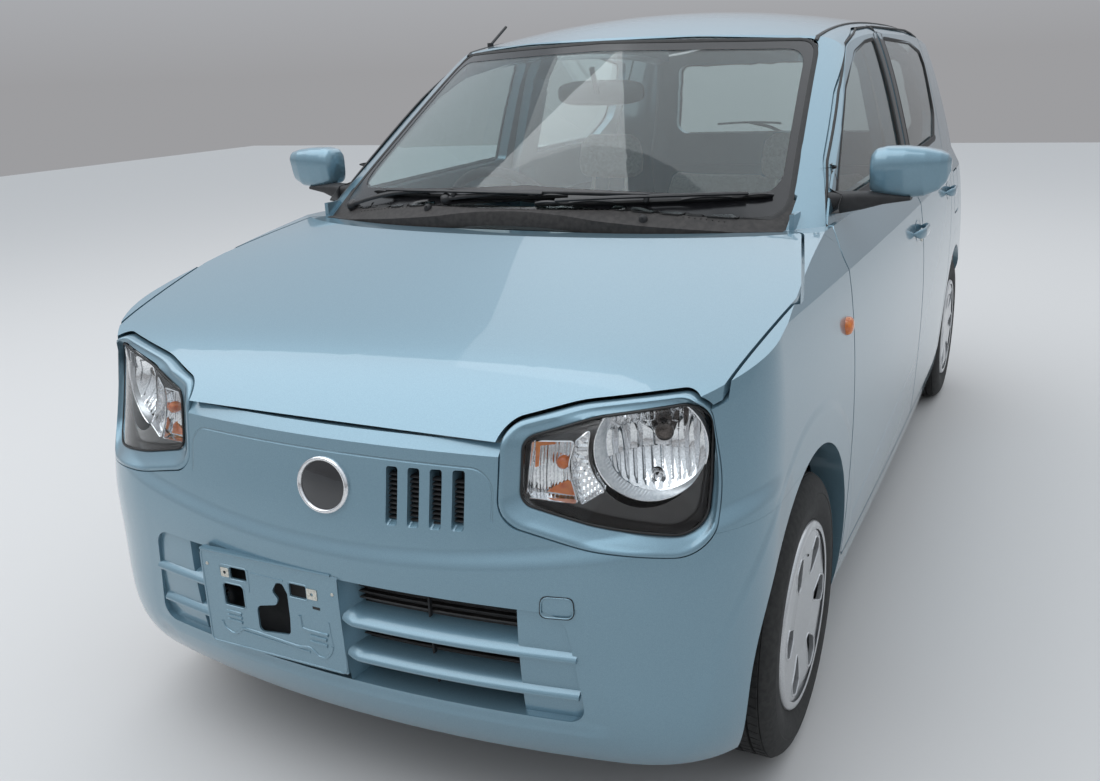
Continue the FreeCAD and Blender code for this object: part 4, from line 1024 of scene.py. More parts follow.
edge_border = outline(SCREEN, -0.002, 0.02)
loop = [on_screen(p.x, p.y) for p in spaced(edge_border, 220)]
corners, faces = swept([p for p, n in loop], [n for p, n in loop], [(-0.0075, -0.001), (-0.0070, 0.0016),
    (-0.0020, 0.0030), (0.0045, 0.0022), (0.0060, -0.001)], closed=True)
make_piece("screen_moulding", corners, faces, seal_black, "car", 50.0)
outer = [on_screen(p.x, p.y, 0.0007) for p in spaced(outline(SCREEN, -0.004, 0.02), 260)]
inner_border = [(-0.548, 1.052, 0.030), (0.0, 1.078, 0.0), (0.548, 1.052, 0.030), (0.486, 1.350, 0.045),
    (0.0, 1.364, 0.0), (-0.486, 1.350, 0.045)]
inner_loop = spaced(outline(inner_border, 0.0, 0.02), 260)
shift = min(range(260), key=lambda k: (Vector((inner_loop[k].x, inner_loop[k].y))
    - Vector((outer[0][0].x, outer[0][0].z))).length)
inner_loop = inner_loop[shift:] + inner_loop[:shift]
inner_ring = [on_screen(p.x, p.y, 0.0007) for p in inner_loop]
rings = []
for k in range(5):
    rings.append([on_screen(a[0].x + (b[0].x - a[0].x) * k / 4, a[0].z + (b[0].z - a[0].z) * k / 4,
        0.0007)[0] for a, b in zip(outer, inner_ring)])
corners = [p for ring in rings for p in ring]
make_piece("screen_band", corners, quads(4, 260, around=True), band_black, "car")

mirror_foot_at, foot_normal = on_screen(0.0, 1.330, -0.008)
stem_end = mirror_foot_at - foot_normal * 0.055 + Vector((0, 0, -0.016))
stem = swept([mirror_foot_at, (mirror_foot_at + stem_end) / 2, stem_end], [X_WAY] * 3,
    [(0.007 * math.cos(t * math.pi / 5), 0.007 * math.sin(t * math.pi / 5)) for t in range(10)])
shell = []
shell_faces = []
SECTION = [(0.000, 1.0), (0.010, 1.0), (0.018, 0.86), (0.024, 0.5), (0.026, 0.02)]
for depth, size in SECTION:
    for c, s in round_turns(48):
        shell.append(stem_end + Vector((0.118 * size * squared(c, 0.6), 0.028 - depth,
            0.031 * size * squared(s, 0.6))))
shell_faces = quads(4, 48, around=True)
shell_faces += [tuple(range(48)), tuple(4 * 48 + k for k in range(48))]
make_piece("inside_mirror", *joined(stem, (shell, shell_faces)), seal_black, "car", 50.0)
mirror_glass = finish_of("mirror_silver", (0.80, 0.82, 0.83), (0.86, 0.87, 0.88), 0.03, 20.0, metal=1.0)
pane = [stem_end + Vector((0.110 * squared(math.cos(t), 0.6), 0.0286, 0.026 * squared(math.sin(t), 0.6)))
    for t in [2 * math.pi * (k + 0.5) / 48 for k in range(48)]]
make_piece("inside_mirror_glass", pane, [tuple(range(48))], mirror_glass, "car")


# Cowl and wipers: grained plastic grille under the screen with two washer jets, and two
# pressed steel arms, painted black, with clawed frames that hold the rubber blades.
cowl_finish = finish_of("cowl_grain", (0.016, 0.014, 0.013), (0.034, 0.030, 0.028), 0.62, 90.0, relief=0.35,
    relief_scale=1400.0)
dress("cowl_panel", cowl_finish)
cowl_skin = skin_of("cowl_panel")
wiper_black = finish_of("wiper_black", (0.010, 0.010, 0.011), (0.018, 0.018, 0.019), 0.36, 80.0, relief=0.1)
blade_rubber = finish_of("blade_rubber", (0.008, 0.008, 0.008), (0.014, 0.014, 0.014), 0.7, 80.0)


def onto(skin, x, y, lift=0.0):
    point, normal, index, far = skin.ray_cast(Vector((x, y, 2.0)), Vector((0, 0, -1)))
    if point is None:
        point, normal, index, far = skin.find_nearest(Vector((x, y, 1.0)))
    return point + Vector((0, 0, lift))


slats = []
for i in range(78):
    x = -0.462 + i * 0.012
    if abs(x) < 0.05:
        continue
    lows = [onto(cowl_skin, x, -0.905 + 0.28 * abs(x) ** 2, 0.0002),
        onto(cowl_skin, x, -0.935 + 0.28 * abs(x) ** 2, 0.0002)]
    slats.append(swept(lows, [Z_WAY] * 2, [(-0.0015, -0.001), (-0.0013, 0.0012), (0.0013, 0.0012),
        (0.0015, -0.001)]))
make_piece("cowl_slats", *joined(*slats), cowl_finish, "car")
jets = []
for x in (-0.235, 0.300):
    base = onto(cowl_skin, x, -0.925, 0.0)
    jets.append(turned([(-0.004, 0.0100), (0.003, 0.0095), (0.007, 0.0070), (0.0095, 0.0040),
        (0.0105, 0.0003)], base, (0, -0.25, 0.97), 20))
    jets.append(turned([(0.0040, 0.0022), (0.0105, 0.0020), (0.0108, 0.0003)],
        base + Vector((0, -0.002, 0.002)), (0, -0.9, 0.4), 12))
make_piece("washer_jets", *joined(*jets), black, "car", 50.0)


def blade_set(pivot, knee, ends, lift):
    made = []
    rubber = []
    arm_mid = (pivot + knee) / 2
    at_mid, n_mid = on_screen(arm_mid.x, arm_mid.z, 0.013)
    arm = smooth_line([tuple(pivot), tuple(pivot.lerp(at_mid, 0.5) + Vector((0, -0.004, 0.004))),
        tuple(at_mid), tuple(knee)], 24)
    arm = [Vector(p) for p in arm]
    widths = [0.0085 - 0.0050 * i / (len(arm) - 1) for i in range(len(arm))]
    corners = []
    for i, p in enumerate(arm):
        ahead = (arm[min(i + 1, len(arm) - 1)] - arm[max(i - 1, 0)]).normalized()
        up = n_mid - ahead * n_mid.dot(ahead)
        up.normalize()
        side = ahead.cross(up)
        w = widths[i]
        for a, b in ((-w, -0.002), (-w * 0.9, 0.0030), (-w * 0.45, 0.0052), (w * 0.45, 0.0052),
                (w * 0.9, 0.0030), (w, -0.002)):
            corners.append(p + side * a + up * b)
    count = len(arm)
    faces = quads(count - 1, 6, around=True, caps=True)
    made.append((corners, faces))
    made.append(turned([(-0.016, 0.0150), (-0.002, 0.0150), (0.005, 0.0130), (0.009, 0.0085),
        (0.010, 0.0004)], pivot, tuple(n_mid), 24))
    (x0, z0), (x1, z1) = ends
    spine = [on_screen(x0 + (x1 - x0) * i / 30, z0 + (z1 - z0) * i / 30,
        0.0135 + lift * (1 - (2 * i / 30 - 1) ** 2)) for i in range(3, 28)]
    made.append(swept([p for p, n in spine], [n for p, n in spine], [(-0.0042, -0.0015), (-0.0038, 0.0022),
        (0.0, 0.0034), (0.0038, 0.0022), (0.0042, -0.0015)]))
    for share in (0.02, 0.26, 0.74, 0.98):
        a = share - 0.10 if share > 0.1 else 0.0
        b = share + 0.10 if share < 0.9 else 1.0
        claw = [on_screen(x0 + (x1 - x0) * (a + (b - a) * i / 10), z0 + (z1 - z0) * (a + (b - a) * i / 10),
            0.0088 + 0.0042 * (1 - (2 * i / 10 - 1) ** 2)) for i in range(11)]
        made.append(swept([p for p, n in claw], [n for p, n in claw], [(-0.0030, -0.0010), (-0.0026, 0.0014),
            (0.0026, 0.0014), (0.0030, -0.0010)]))
    line = [on_screen(x0 + (x1 - x0) * i / 40, z0 + (z1 - z0) * i / 40, 0.0) for i in range(41)]
    rubber.append(swept([p for p, n in line], [n for p, n in line], [(-0.0006, 0.0006), (-0.0010, 0.0040),
        (-0.0032, 0.0058), (-0.0036, 0.0086), (0.0036, 0.0086), (0.0032, 0.0058), (0.0010, 0.0040),
        (0.0006, 0.0006)]))
    hub, n = on_screen((x0 + x1) / 2, (z0 + z1) / 2, 0.016)
    made.append(turned([(-0.010, 0.0050), (-0.009, 0.0062), (0.009, 0.0062), (0.010, 0.0050)], hub,
        (0.2, 0.3, 0.9), 12))
    return made, rubber


metal_parts = []
rubber_parts = []
for pivot_x, foot_z, x0, x1, z in ((-0.545, 1.000, -0.452, 0.117, 1.052), (-0.190, 1.026, 0.050, 0.536,
        1.046)):
    foot, n = on_screen(pivot_x, foot_z + 0.006, 0.012)
    knee, n = on_screen((x0 + x1) / 2, z, 0.021)
    made, rubber = blade_set(foot, knee, ((x0, z - 0.006), (x1, z + 0.002)), 0.008)
    metal_parts += made
    rubber_parts += rubber
piece = make_piece("wiper_arms", *joined(*metal_parts), wiper_black, "car", 50.0)
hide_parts("wipers")
make_piece("wiper_rubbers", *joined(*rubber_parts), blade_rubber, "car", 50.0)


# Door mirrors: a moulded shell painted with the body, a black foot on the sail corner,
# and a silvered glass set in its back. A soft crease runs out to the shell's tip.
def mirror_section(t):
    # Share of the way to the tip, then middle y, half depth, low z, high z and the crease's z
    table = [(0.00, -0.622, 0.030, 1.050, 1.128, 1.095), (0.06, -0.624, 0.037, 1.042, 1.1385, 1.099),
        (0.20, -0.626, 0.0400, 1.036, 1.1440, 1.103), (0.45, -0.6265, 0.0400, 1.0340, 1.1440, 1.106),
        (0.70, -0.625, 0.0370, 1.0390, 1.1400, 1.109), (0.88, -0.621, 0.0300, 1.0520, 1.1330, 1.111),
        (0.96, -0.616, 0.0220, 1.0680, 1.1260, 1.111), (1.00, -0.612, 0.0080, 1.0900, 1.1160, 1.106)]
    for a, b in zip(table, table[1:]):
        if t <= b[0]:
            s = (t - a[0]) / (b[0] - a[0])
            return [a[i] + (b[i] - a[i]) * s for i in range(1, 6)]
    return table[-1][1:]


corners = []
faces = []
ACROSS = 40
ALONG = 44
for i in range(ALONG + 1):
    t = i / ALONG
    t = 1 - (1 - t) ** 1.35
    x = 0.7140 + 0.1610 * t
    middle_y, half, low, high, crease_z = mirror_section(t)
    for k in range(ACROSS):
        turn = 2 * math.pi * k / ACROSS
        c, s = math.cos(turn), math.sin(turn)
        front = c < 0
        y = middle_y + half * (abs(c) ** (0.72 if front else 0.45)) * (-1 if front else 1)
        if s >= 0:
            z = crease_z + (high - crease_z) * s ** (0.80 if front else 0.55)
            if front:
                y += 0.006 * s * (1 - s)
        else:
            z = crease_z - (crease_z - low) * (-s) ** (0.85 if front else 0.55)
            if front:
                y += 0.010 * (-s) * (1 + s) * 1.4
        corners.append(Vector((x, y, z)))
for i in range(ALONG):
    for k in range(ACROSS):
        faces.append((i * ACROSS + k, i * ACROSS + (k + 1) % ACROSS, (i + 1) * ACROSS + (k + 1) % ACROSS,
            (i + 1) * ACROSS + k))
faces += [tuple(range(ACROSS)), tuple(ALONG * ACROSS + k for k in range(ACROSS))]
shell_left, shell_right = make_pair("mirror_shell", corners, faces, paint, "door_front_left",
    "door_front_right", 60.0)
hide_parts("mirror_left")
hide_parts("mirror_right")
foot_sections = []
for x, y0, y1, z0, z1 in ((0.596, -0.700, -0.640, 1.000, 1.052), (0.660, -0.694, -0.636, 1.004, 1.050),
        (0.705, -0.680, -0.626, 1.012, 1.050), (0.745, -0.664, -0.610, 1.022, 1.046),
        (0.800, -0.650, -0.606, 1.030, 1.040)):
    foot_sections.append([Vector((x, (y0 + y1) / 2 + (y1 - y0) / 2 * squared(c, 0.6),
        (z0 + z1) / 2 + (z1 - z0) / 2 * squared(s, 0.6))) for c, s in round_turns(28)])
corners = [p for ring in foot_sections for p in ring]
make_pair("mirror_foot", corners, quads(4, 28, around=True, caps=True), black, "door_front_left",
    "door_front_right", 60.0)
pane = []
for c, s in round_turns(64):
    pane.append(Vector((0.792 + 0.067 * squared(c, 0.55), -0.5862, 1.090 + 0.041 * squared(s, 0.55))))
make_pair("mirror_glass", pane, [tuple(range(64))], mirror_glass, "door_front_left", "door_front_right")
rim_line = [p + Vector((0, 0.0004, 0)) for p in pane]
make_pair("mirror_rim", *swept(rim_line, [Y_WAY] * 64, [(-0.002, -0.002), (-0.002, 0.0016), (0.003, 0.0016),
    (0.003, -0.002)], closed=True), seal_black, "door_front_left", "door_front_right", 50.0)


# Tyres: black rubber with four grooves round the tread, blocks cut between them, and
# bare side walls with fine mould rings. The bead sits on the rim.
rubber = finish_of("tyre_rubber", (0.010, 0.010, 0.010), (0.022, 0.022, 0.021), 0.78, 90.0, relief=0.25,
    relief_scale=700.0)
WHEEL_PLACES = {"front_left": (0.6475, -1.140), "front_right": (-0.6475, -1.140),
    "rear_left": (0.6475, 1.320), "rear_right": (-0.6475, 1.320)}
AXLE = 0.281
TYRE = [(-0.0520, 0.1655), (-0.0560, 0.1690), (-0.0585, 0.1780), (-0.0615, 0.1815), (-0.0640, 0.1930),
    (-0.0700, 0.2100), (-0.0722, 0.2300), (-0.0712, 0.2400), (-0.0722, 0.2420), (-0.0715, 0.2450),
    (-0.0700, 0.2520), (-0.0660, 0.2620), (-0.0600, 0.2710), (-0.0540, 0.2765), (-0.0500, 0.2785)]
LANDS = [(-0.0480, -0.0285), (-0.0235, -0.0030), (0.0030, 0.0235), (0.0285, 0.0480)]
tread = []
for low, high in LANDS:
    tread += [(low - 0.0012, 0.2735), (low, 0.2795), (high, 0.2798), (high + 0.0012, 0.2735)]
mirror_half = [(-a, b) for a, b in reversed(TYRE)]
section = TYRE + tread + mirror_half
TURNS = 168


def round_axle(section, closed, turns, centre, sign=1.0):
    corners = []
    for k in range(turns):
        t = 2 * math.pi * k / turns
        for a, b in section:
            corners.append((centre[0] + sign * a, centre[1] + b * math.sin(t), AXLE + b * math.cos(t)))
    return corners, quads(turns, len(section), ring=True, around=closed)


# One tread block, repeated round each land
BLOCKS = 78
for place, (x, y) in WHEEL_PLACES.items():
    side = 1 if x > 0 else -1
    piece = make_piece("tyre_body_" + place, *round_axle(section, True, TURNS, (x, y), side), rubber,
        "wheel_" + place, 30.0)
    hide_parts("tyre_" + place)
    for row, (low, high) in enumerate(LANDS):
        skew = (0.0022, -0.0012, 0.0012, -0.0022)[row]
        block = []
        for b, grow in ((0.2782, 0.0), (0.2805, -0.0007)):
            for a, along_share in ((low - 0.0002 - grow, -1), (low - 0.0002 - grow, 1),
                    (high + 0.0002 + grow, 1), (high + 0.0002 + grow, -1)):
                turn = math.pi / BLOCKS * 0.80 * along_share
                lean = skew * (1 if a > (low + high) / 2 else -1) / 0.28
                block.append((side * a, b * math.sin(turn + lean), b * math.cos(turn + lean)))
        block_faces = [(0, 1, 2, 3), (4, 5, 6, 7), (0, 1, 5, 4), (1, 2, 6, 5), (2, 3, 7, 6), (3, 0, 4, 7)]
        ring_turn = 2 * math.pi / BLOCKS
        repeated("tread_%d_%s" % (row + 1, place), RING, BLOCKS, (ring_turn, 0, 0), block, block_faces,
            rubber, "wheel_" + place, centre=(x, y, AXLE), crease=30.0)


# Wheels: pressed steel rims lacquered silver behind a moulded cover with six rounded
# openings and a rolled edge; the rims are coloured dark grey, painted shade for the hollow
# behind the cover. The cover clips to the rim, and a valve stands by its edge.
silver = finish_of("cover_silver", (0.50, 0.51, 0.52), (0.60, 0.61, 0.62), 0.30, 500.0, metal=0.65, coat=0.5)
# Dark grey for the rims is painted shade: the silver lacquer darkened for the hollow behind the cover
rim_dark_painted_shade = finish_of("rim_lacquer_painted_shade", (0.10, 0.10, 0.105), (0.16, 0.16, 0.165), 0.45, 200.0, metal=0.6)
disc_iron = finish_of("brake_iron", (0.20, 0.19, 0.18), (0.30, 0.28, 0.26), 0.42, 260.0, metal=0.9,
    relief=0.1)
COVER = [(0.0560, 0.0004), (0.0562, 0.0180), (0.0548, 0.0225), (0.0560, 0.0262), (0.0570, 0.0300),
    (0.0592, 0.0420), (0.0640, 0.0700), (0.0672, 0.0980), (0.0694, 0.1300), (0.0702, 0.1560),
    (0.0700, 0.1610), (0.0682, 0.1640), (0.0690, 0.1680), (0.0708, 0.1730), (0.0702, 0.1810),
    (0.0672, 0.1858), (0.0630, 0.1868)]


def cover_face(radius):
    for a, b in zip(COVER, COVER[1:]):
        if a[1] <= radius <= b[1]:
            return a[0] + (b[0] - a[0]) * (radius - a[1]) / (b[1] - a[1])
    return COVER[-1][0]


HOLE = [(0.156, -0.014, 0.010), (0.158, 0.020, 0.012), (0.140, 0.040, 0.010), (0.078, 0.010, 0.008),
    (0.084, -0.010, 0.008), (0.126, -0.030, 0.014)]


def cover_at(out, across, depth):
    radius = math.hypot(out, across)
    return (cover_face(radius) - depth, across, out)


cover_border = [Vector((0.1866 * math.cos(2 * math.pi * k / 180), 0.1866 * math.sin(2 * math.pi * k / 180)))
    for k in range(180)]
cover_holes = []
lip_parts = []
for i in range(6):
    t = math.radians(60 * i + 30)
    loop = [Vector((p.x * math.cos(t) - p.y * math.sin(t), p.x * math.sin(t) + p.y * math.cos(t)))
        for p in spaced(outline(HOLE), 60)]
    cover_holes.append(loop)
cover = sheet_of(cover_border, cover_holes, cover_at, 0.0026)
for loop in cover_holes:
    points = [Vector(cover_at(p.x, p.y, -0.0002)) for p in loop]
    lip_parts.append(swept(points, [X_WAY] * len(points), [(-0.0022, -0.001), (-0.0010, 0.0010),
        (0.0012, 0.0012), (0.0026, -0.0004), (0.0022, -0.010), (-0.0006, -0.010)], closed=True))
ring_parts = [round_axle([(0.0706, 0.1700), (0.0719, 0.1730), (0.0719, 0.1770), (0.0700, 0.1830),
    (0.0660, 0.1866), (0.0620, 0.1872), (0.0600, 0.1850)], False, 180, (0, 0)),
    round_axle([(0.0555, 0.0002), (0.0580, 0.0060), (0.0590, 0.0180), (0.0584, 0.0225), (0.0562, 0.0240)],
    False, 72, (0, 0))]
ring_parts = [([(a, b, c - AXLE) for a, b, c in part[0]], part[1]) for part in ring_parts]
cover_corners, cover_faces = joined(cover, *lip_parts, *ring_parts)
RIM = [(-0.0560, 0.1640), (-0.0572, 0.1700), (-0.0540, 0.1730), (-0.0520, 0.1660), (-0.0400, 0.1560),
    (-0.0100, 0.1500), (0.0200, 0.1510), (0.0330, 0.1580), (0.0520, 0.1665), (0.0560, 0.1725),
    (0.0590, 0.1700), (0.0570, 0.1620), (0.0320, 0.1500), (0.0280, 0.1350), (0.0300, 0.1150),
    (0.0400, 0.0950), (0.0420, 0.0750), (0.0330, 0.0600), (0.0330, 0.0300), (0.0250, 0.0290),
    (0.0250, 0.0600), (0.0340, 0.0760), (0.0320, 0.0940), (0.0220, 0.1140), (0.0200, 0.1360),
    (-0.0060, 0.1440), (-0.0400, 0.1480)]
for place, (x, y) in WHEEL_PLACES.items():
    side = 1 if x > 0 else -1
    body = "wheel_" + place
    turned_corners = [(x + side * a, y + b, AXLE + c) for a, b, c in cover_corners]
    make_piece("wheel_cover_" + place, turned_corners, cover_faces, silver, body, 42.0)
    piece = make_piece("wheel_rim_" + place, *round_axle(RIM, True, 96, (x, y), side), rim_dark_painted_shade, body, 50.0)
    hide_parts(body)
    nut = turned([(0.030, 0.0002), (0.034, 0.0105), (0.045, 0.0100), (0.0500, 0.0070), (0.0505, 0.0002)],
        Vector((0, 0, 0.050)), (1, 0, 0), 6)
    nut = ([(side * p[0], p[1], p[2]) for p in nut[0]], nut[1])
    repeated("wheel_nuts_" + place, RING, 4, (math.pi / 2, 0, 0), *nut, steel, body, centre=(x, y, AXLE))
    drum = turned([(-0.035, 0.002), (-0.035, 0.108), (-0.026, 0.1115), (-0.019, 0.1100), (-0.019, 0.060),
        (0.004, 0.056), (0.006, 0.002)], Vector((0, 0, 0)), (1, 0, 0), 64)
    make_piece("brake_disc_" + place, [(x + side * p[0], y + p[1], AXLE + p[2]) for p in drum[0]], drum[1],
        disc_iron, body, 40.0)
    valve = turned([(0.0, 0.0040), (0.014, 0.0036), (0.016, 0.0030), (0.024, 0.0030), (0.0245, 0.0004)],
        Vector((0.0500, 0.0, 0.1400)), (0.85, 0, -0.5), 12)
    make_piece("valve_" + place, [(x + side * p[0], y + p[1], AXLE + p[2]) for p in valve[0]], valve[1],
        seal_black, body, 50.0)


# Doors: pressed shells hung in rubber weather strips. Each window has a black run channel
# and a belt moulding, and the pillar ends carry black film. The handles are painted.
DOOR_LINES = { "front": [(-0.795, 0.250, 0.02), (0.262, 0.250, 0.02), (0.260, 1.000, 0.01),
    (0.258, 1.403, 0.02), (0.060, 1.396, 0.02), (-0.175, 1.356, 0.05), (-0.380, 1.249, 0.10),
    (-0.609, 1.106, 0.10), (-0.765, 0.985, 0.03), (-0.795, 0.930, 0.02)], "rear": [(0.270, 0.250, 0.02),
    (1.010, 0.250, 0.05), (1.045, 0.620, 0.06), (1.105, 0.800, 0.08), (1.130, 1.000, 0.06),
    (1.142, 1.290, 0.04), (1.125, 1.376, 0.03), (0.900, 1.400, 0.05), (0.270, 1.405, 0.02)]}
WINDOW_LINES = { "front": [(-0.672, 1.018, 0.012), (0.180, 1.034, 0.012), (0.192, 1.372, 0.015),
    (0.060, 1.364, 0.05), (-0.110, 1.338, 0.08), (-0.330, 1.256, 0.10), (-0.461, 1.176, 0.08)],
    "rear": [(0.338, 1.036, 0.012), (0.930, 1.044, 0.03), (1.062, 1.120, 0.06), (1.098, 1.285, 0.03),
    (1.060, 1.330, 0.03), (0.843, 1.360, 0.05), (0.338, 1.374, 0.015)]}
side_skin = skin_of("door_front_left", "door_rear_left", "side_frame_left", "fender_left", "roof_panel")


def on_side(y, z, lift=0.0, inward=(0.0, 0.0)):
    point, normal, index, far = side_skin.ray_cast(Vector((1.2, y + inward[0], z + inward[1])),
        Vector((-1, 0, 0)))
    if point is None or point.x < 0.45:
        point, normal, index, far = side_skin.find_nearest(Vector((0.73, y, z)))
    if normal.x < 0:
        normal = -normal
    return Vector((point.x, y, z)) + X_WAY * lift, normal


def middle_of(points):
    return Vector((sum(p[0] for p in points) / len(points), sum(p[1] for p in points) / len(points)))


for which in ("front", "rear"):
    body_left, body_right = "door_%s_left" % which, "door_%s_right" % which
    loop = spaced(outline(DOOR_LINES[which], 0.003, 0.01), 260)
    centre = middle_of(DOOR_LINES[which])
    places = []
    for p in loop:
        inner = (centre - Vector((p.x, p.y))).normalized() * 0.012
        spot, n = on_side(p.x, p.y, -0.0075, (inner.x, inner.y))
        places.append(spot)
    make_pair("door_seal_" + which, *swept(places, [X_WAY] * len(places),
        [(-0.0026, -0.004), (-0.0026, 0.0006), (0.0, 0.0020), (0.0026, 0.0006), (0.0026, -0.004)],
        closed=True), seal_black, "car", "car", 50.0)
    loop = spaced(outline(WINDOW_LINES[which], 0.0, 0.01), 240)
    centre = middle_of(WINDOW_LINES[which])
    places = []
    for p in loop:
        outer = (Vector((p.x, p.y)) - centre).normalized() * 0.006
        spot, n = on_side(p.x, p.y, 0.0, (outer.x, outer.y))
        places.append(spot)
    make_pair("run_channel_" + which, *swept(places, [X_WAY] * len(places),
        [(-0.0060, -0.006), (-0.0060, -0.0015), (-0.0030, 0.0012), (0.0030, 0.0014), (0.0052, 0.0002),
        (0.0052, -0.0015)], closed=True), seal_black, body_left, body_right, 50.0)
    belt_y = (-0.668, 0.178) if which == "front" else (0.340, 0.928)
    belt = []
    for i in range(41):
        y = belt_y[0] + (belt_y[1] - belt_y[0]) * i / 40
        z = (1.018 + 0.016 * i / 40) if which == "front" else (1.036 + 0.008 * i / 40)
        belt.append(on_side(y, z, 0.0, (0, -0.012))[0])
    make_pair("belt_moulding_" + which, *swept(belt, [X_WAY] * 41, [(-0.010, 0.0), (-0.010, 0.0022),
        (0.0, 0.0040), (0.010, 0.0020), (0.010, -0.004)]), black, body_left, body_right, 50.0)

film = finish_of("pillar_film", (0.006, 0.006, 0.007), (0.012, 0.012, 0.013), 0.32)
for name, border, bodies in (("sash_film_front", [(0.1985, 1.038, 0.004), (0.2540, 1.040, 0.004),
        (0.2520, 1.392, 0.004), (0.2040, 1.386, 0.004)], ("door_front_left", "door_front_right")),
        ("sash_film_rear", [(0.2760, 1.040, 0.004), (0.3300, 1.041, 0.004), (0.3300, 1.388, 0.004),
        (0.2760, 1.394, 0.004)], ("door_rear_left", "door_rear_right")),
        ("sail_film", [(-0.748, 1.008, 0.006), (-0.680, 1.012, 0.004), (-0.560, 1.112, 0.02),
        (-0.600, 1.104, 0.004)], ("door_front_left", "door_front_right"))):
    corners, faces = sheet_of(outline(border, 0.0, 0.012), [], lambda y, z, d: on_side(y, z, 0.0009 - d)[0],
        0.0006)
    make_pair(name, corners, faces, film, *bodies)

for y0, y1, z, bodies in ((0.075, 0.242, 0.842, ("door_front_left", "door_front_right")),
        (0.925, 1.075, 0.856, ("door_rear_left", "door_rear_right"))):
    ring = []
    rows_here = 33
    for i in range(rows_here):
        s = i / (rows_here - 1)
        y = y0 + (y1 - y0) * s
        base, n = on_side(y, z, 0.0)
        rise = 0.030 * min(1.0, math.sin(math.pi * min(max(s, 0.0), 1.0)) ** 0.45 + 0.12)
        half = 0.0125 + 0.0035 * math.sin(math.pi * s)
        end = min(1.0, math.sqrt(max(0.0, 1 - (2 * s - 1) ** 8)) + 0.05)
        for c, w in round_turns(16):
            ring.append(base + Vector((rise - 0.0055 + 0.0055 * c, 0, half * end * squared(w, 0.8))))
    faces = quads(rows_here - 1, 16, around=True, caps=True)
    make_pair("door_handle_%d" % round(y0 * 1000), ring, faces, paint, *bodies, 50.0)
    cup = []
    mid_y = (y0 + y1) / 2
    for r in range(7):
        share = r / 6
        for k in range(40):
            t = 2 * math.pi * k / 40
            cy = mid_y + 0.052 * share * math.cos(t)
            cz = z + 0.029 * share * math.sin(t)
            cup.append(on_side(cy, cz, 0.0008)[0])
    faces = quads(6, 40, around=True)
    make_pair("handle_cup_%d" % round(y0 * 1000), cup, faces, paint, *bodies)
    line = [on_side(mid_y + 0.053 * math.cos(2 * math.pi * k / 64),
        z + 0.030 * math.sin(2 * math.pi * k / 64), 0.0006)[0] for k in range(64)]
    make_pair("handle_cup_edge_%d" % round(y0 * 1000),
        *swept(line, [X_WAY] * 64, round_section(0.0011, 6, 0.6), closed=True), paint, *bodies, 60.0)
lock = turned([(-0.003, 0.0085), (0.0025, 0.0085), (0.0035, 0.0075), (0.0030, 0.0040), (0.0020, 0.0003)],
    on_side(0.2600 - 0.036, 0.808, 0.0)[0], (1, 0, 0), 24)
make_pair("key_barrel", lock[0], lock[1], steel, "door_front_left", "door_front_right", 50.0)


# Roof and sides: black drip mouldings fill the seams along the roof, a black rod aerial
# screws into its base, and an amber side repeater is clipped into each front wing.
roof_skin = skin_of("roof_panel")
drip = []
for i in range(81):
    y = -0.330 + 1.700 * i / 80
    x = 0.500 - 0.012 * max(0.0, (y - 0.9) / 0.5) ** 2
    drip.append(onto(roof_skin, x, y, 0.0))
corners, faces = swept(drip, [Z_WAY] * 81, [(-0.0060, -0.002), (-0.0050, 0.0016), (0.0, 0.0030),
    (0.0050, 0.0016), (0.0060, -0.002)])
make_pair("drip_moulding", corners, faces, black, "car", "car", 50.0)
amber_lens, nodes, links, shader = new_material("repeater_lens")
shader.inputs["Base Color"].default_value = (0.95, 0.22, 0.015, 1)
shader.inputs["Transmission Weight"].default_value = 0.25
shader.inputs["Roughness"].default_value = 0.12
shader.inputs["Coat Weight"].default_value = 1.0
place = mottled(nodes, links, shader, "Base Color", (0.80, 0.16, 0.010), (1.0, 0.27, 0.02), 90.0)
wing_skin = skin_of("fender_left")
at, normal, index, far = wing_skin.ray_cast(Vector((1.2, -0.862, 0.802)), Vector((-1, 0, 0)))
if at is None:
    at = Vector((0.721, -0.862, 0.802))
dome = []
for r, lift in ((1.0, -0.003), (1.0, 0.0035), (0.93, 0.0072), (0.78, 0.0104), (0.5, 0.0128), (0.2, 0.0138),
        (0.02, 0.0140)):
    for c, s in round_turns(40):
        dome.append(at + Vector((lift, 0.0215 * r * squared(c, 0.85), 0.0190 * r * squared(s, 0.85))))
faces = quads(6, 40, around=True, caps=True)
left, right = make_pair("side_repeater", dome, faces, amber_lens, "car", "car", 50.0)
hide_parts("indicators")
dress("aerial", black)


# Tail: the lamps sit in the bumper behind red, clear and amber lenses. The tailgate
# carries a grip over its plate recess, a wiper, a bonded glass and a high stop lamp.
tail_red, nodes, links, shader = new_material("tail_lens")
shader.inputs["Roughness"].default_value = 0.10
shader.inputs["Coat Weight"].default_value = 1.0
shader.inputs["Transmission Weight"].default_value = 0.15
place = nodes.new("ShaderNodeTexCoord")
axes = nodes.new("ShaderNodeSeparateXYZ")
links.new(place.outputs["Object"], axes.inputs["Vector"])
bands = nodes.new("ShaderNodeValToRGB")
bands.color_ramp.interpolation = "CONSTANT"
bands.color_ramp.elements[0].position = 0.0
bands.color_ramp.elements[0].color = (0.90, 0.26, 0.02, 1)
bands.color_ramp.elements[1].position = 0.34
bands.color_ramp.elements[1].color = (0.72, 0.73, 0.74, 1)
third = bands.color_ramp.elements.new(0.52)
third.color = (0.52, 0.008, 0.010, 1)
span = nodes.new("ShaderNodeMapRange")
span.inputs["From Min"].default_value = 0.452
span.inputs["From Max"].default_value = 0.584
links.new(axes.outputs["Z"], span.inputs["Value"])
links.new(span.outputs["Result"], bands.inputs["Fac"])
links.new(bands.outputs["Color"], shader.inputs["Base Color"])
flutes = nodes.new("ShaderNodeTexWave")
flutes.bands_direction = "X"
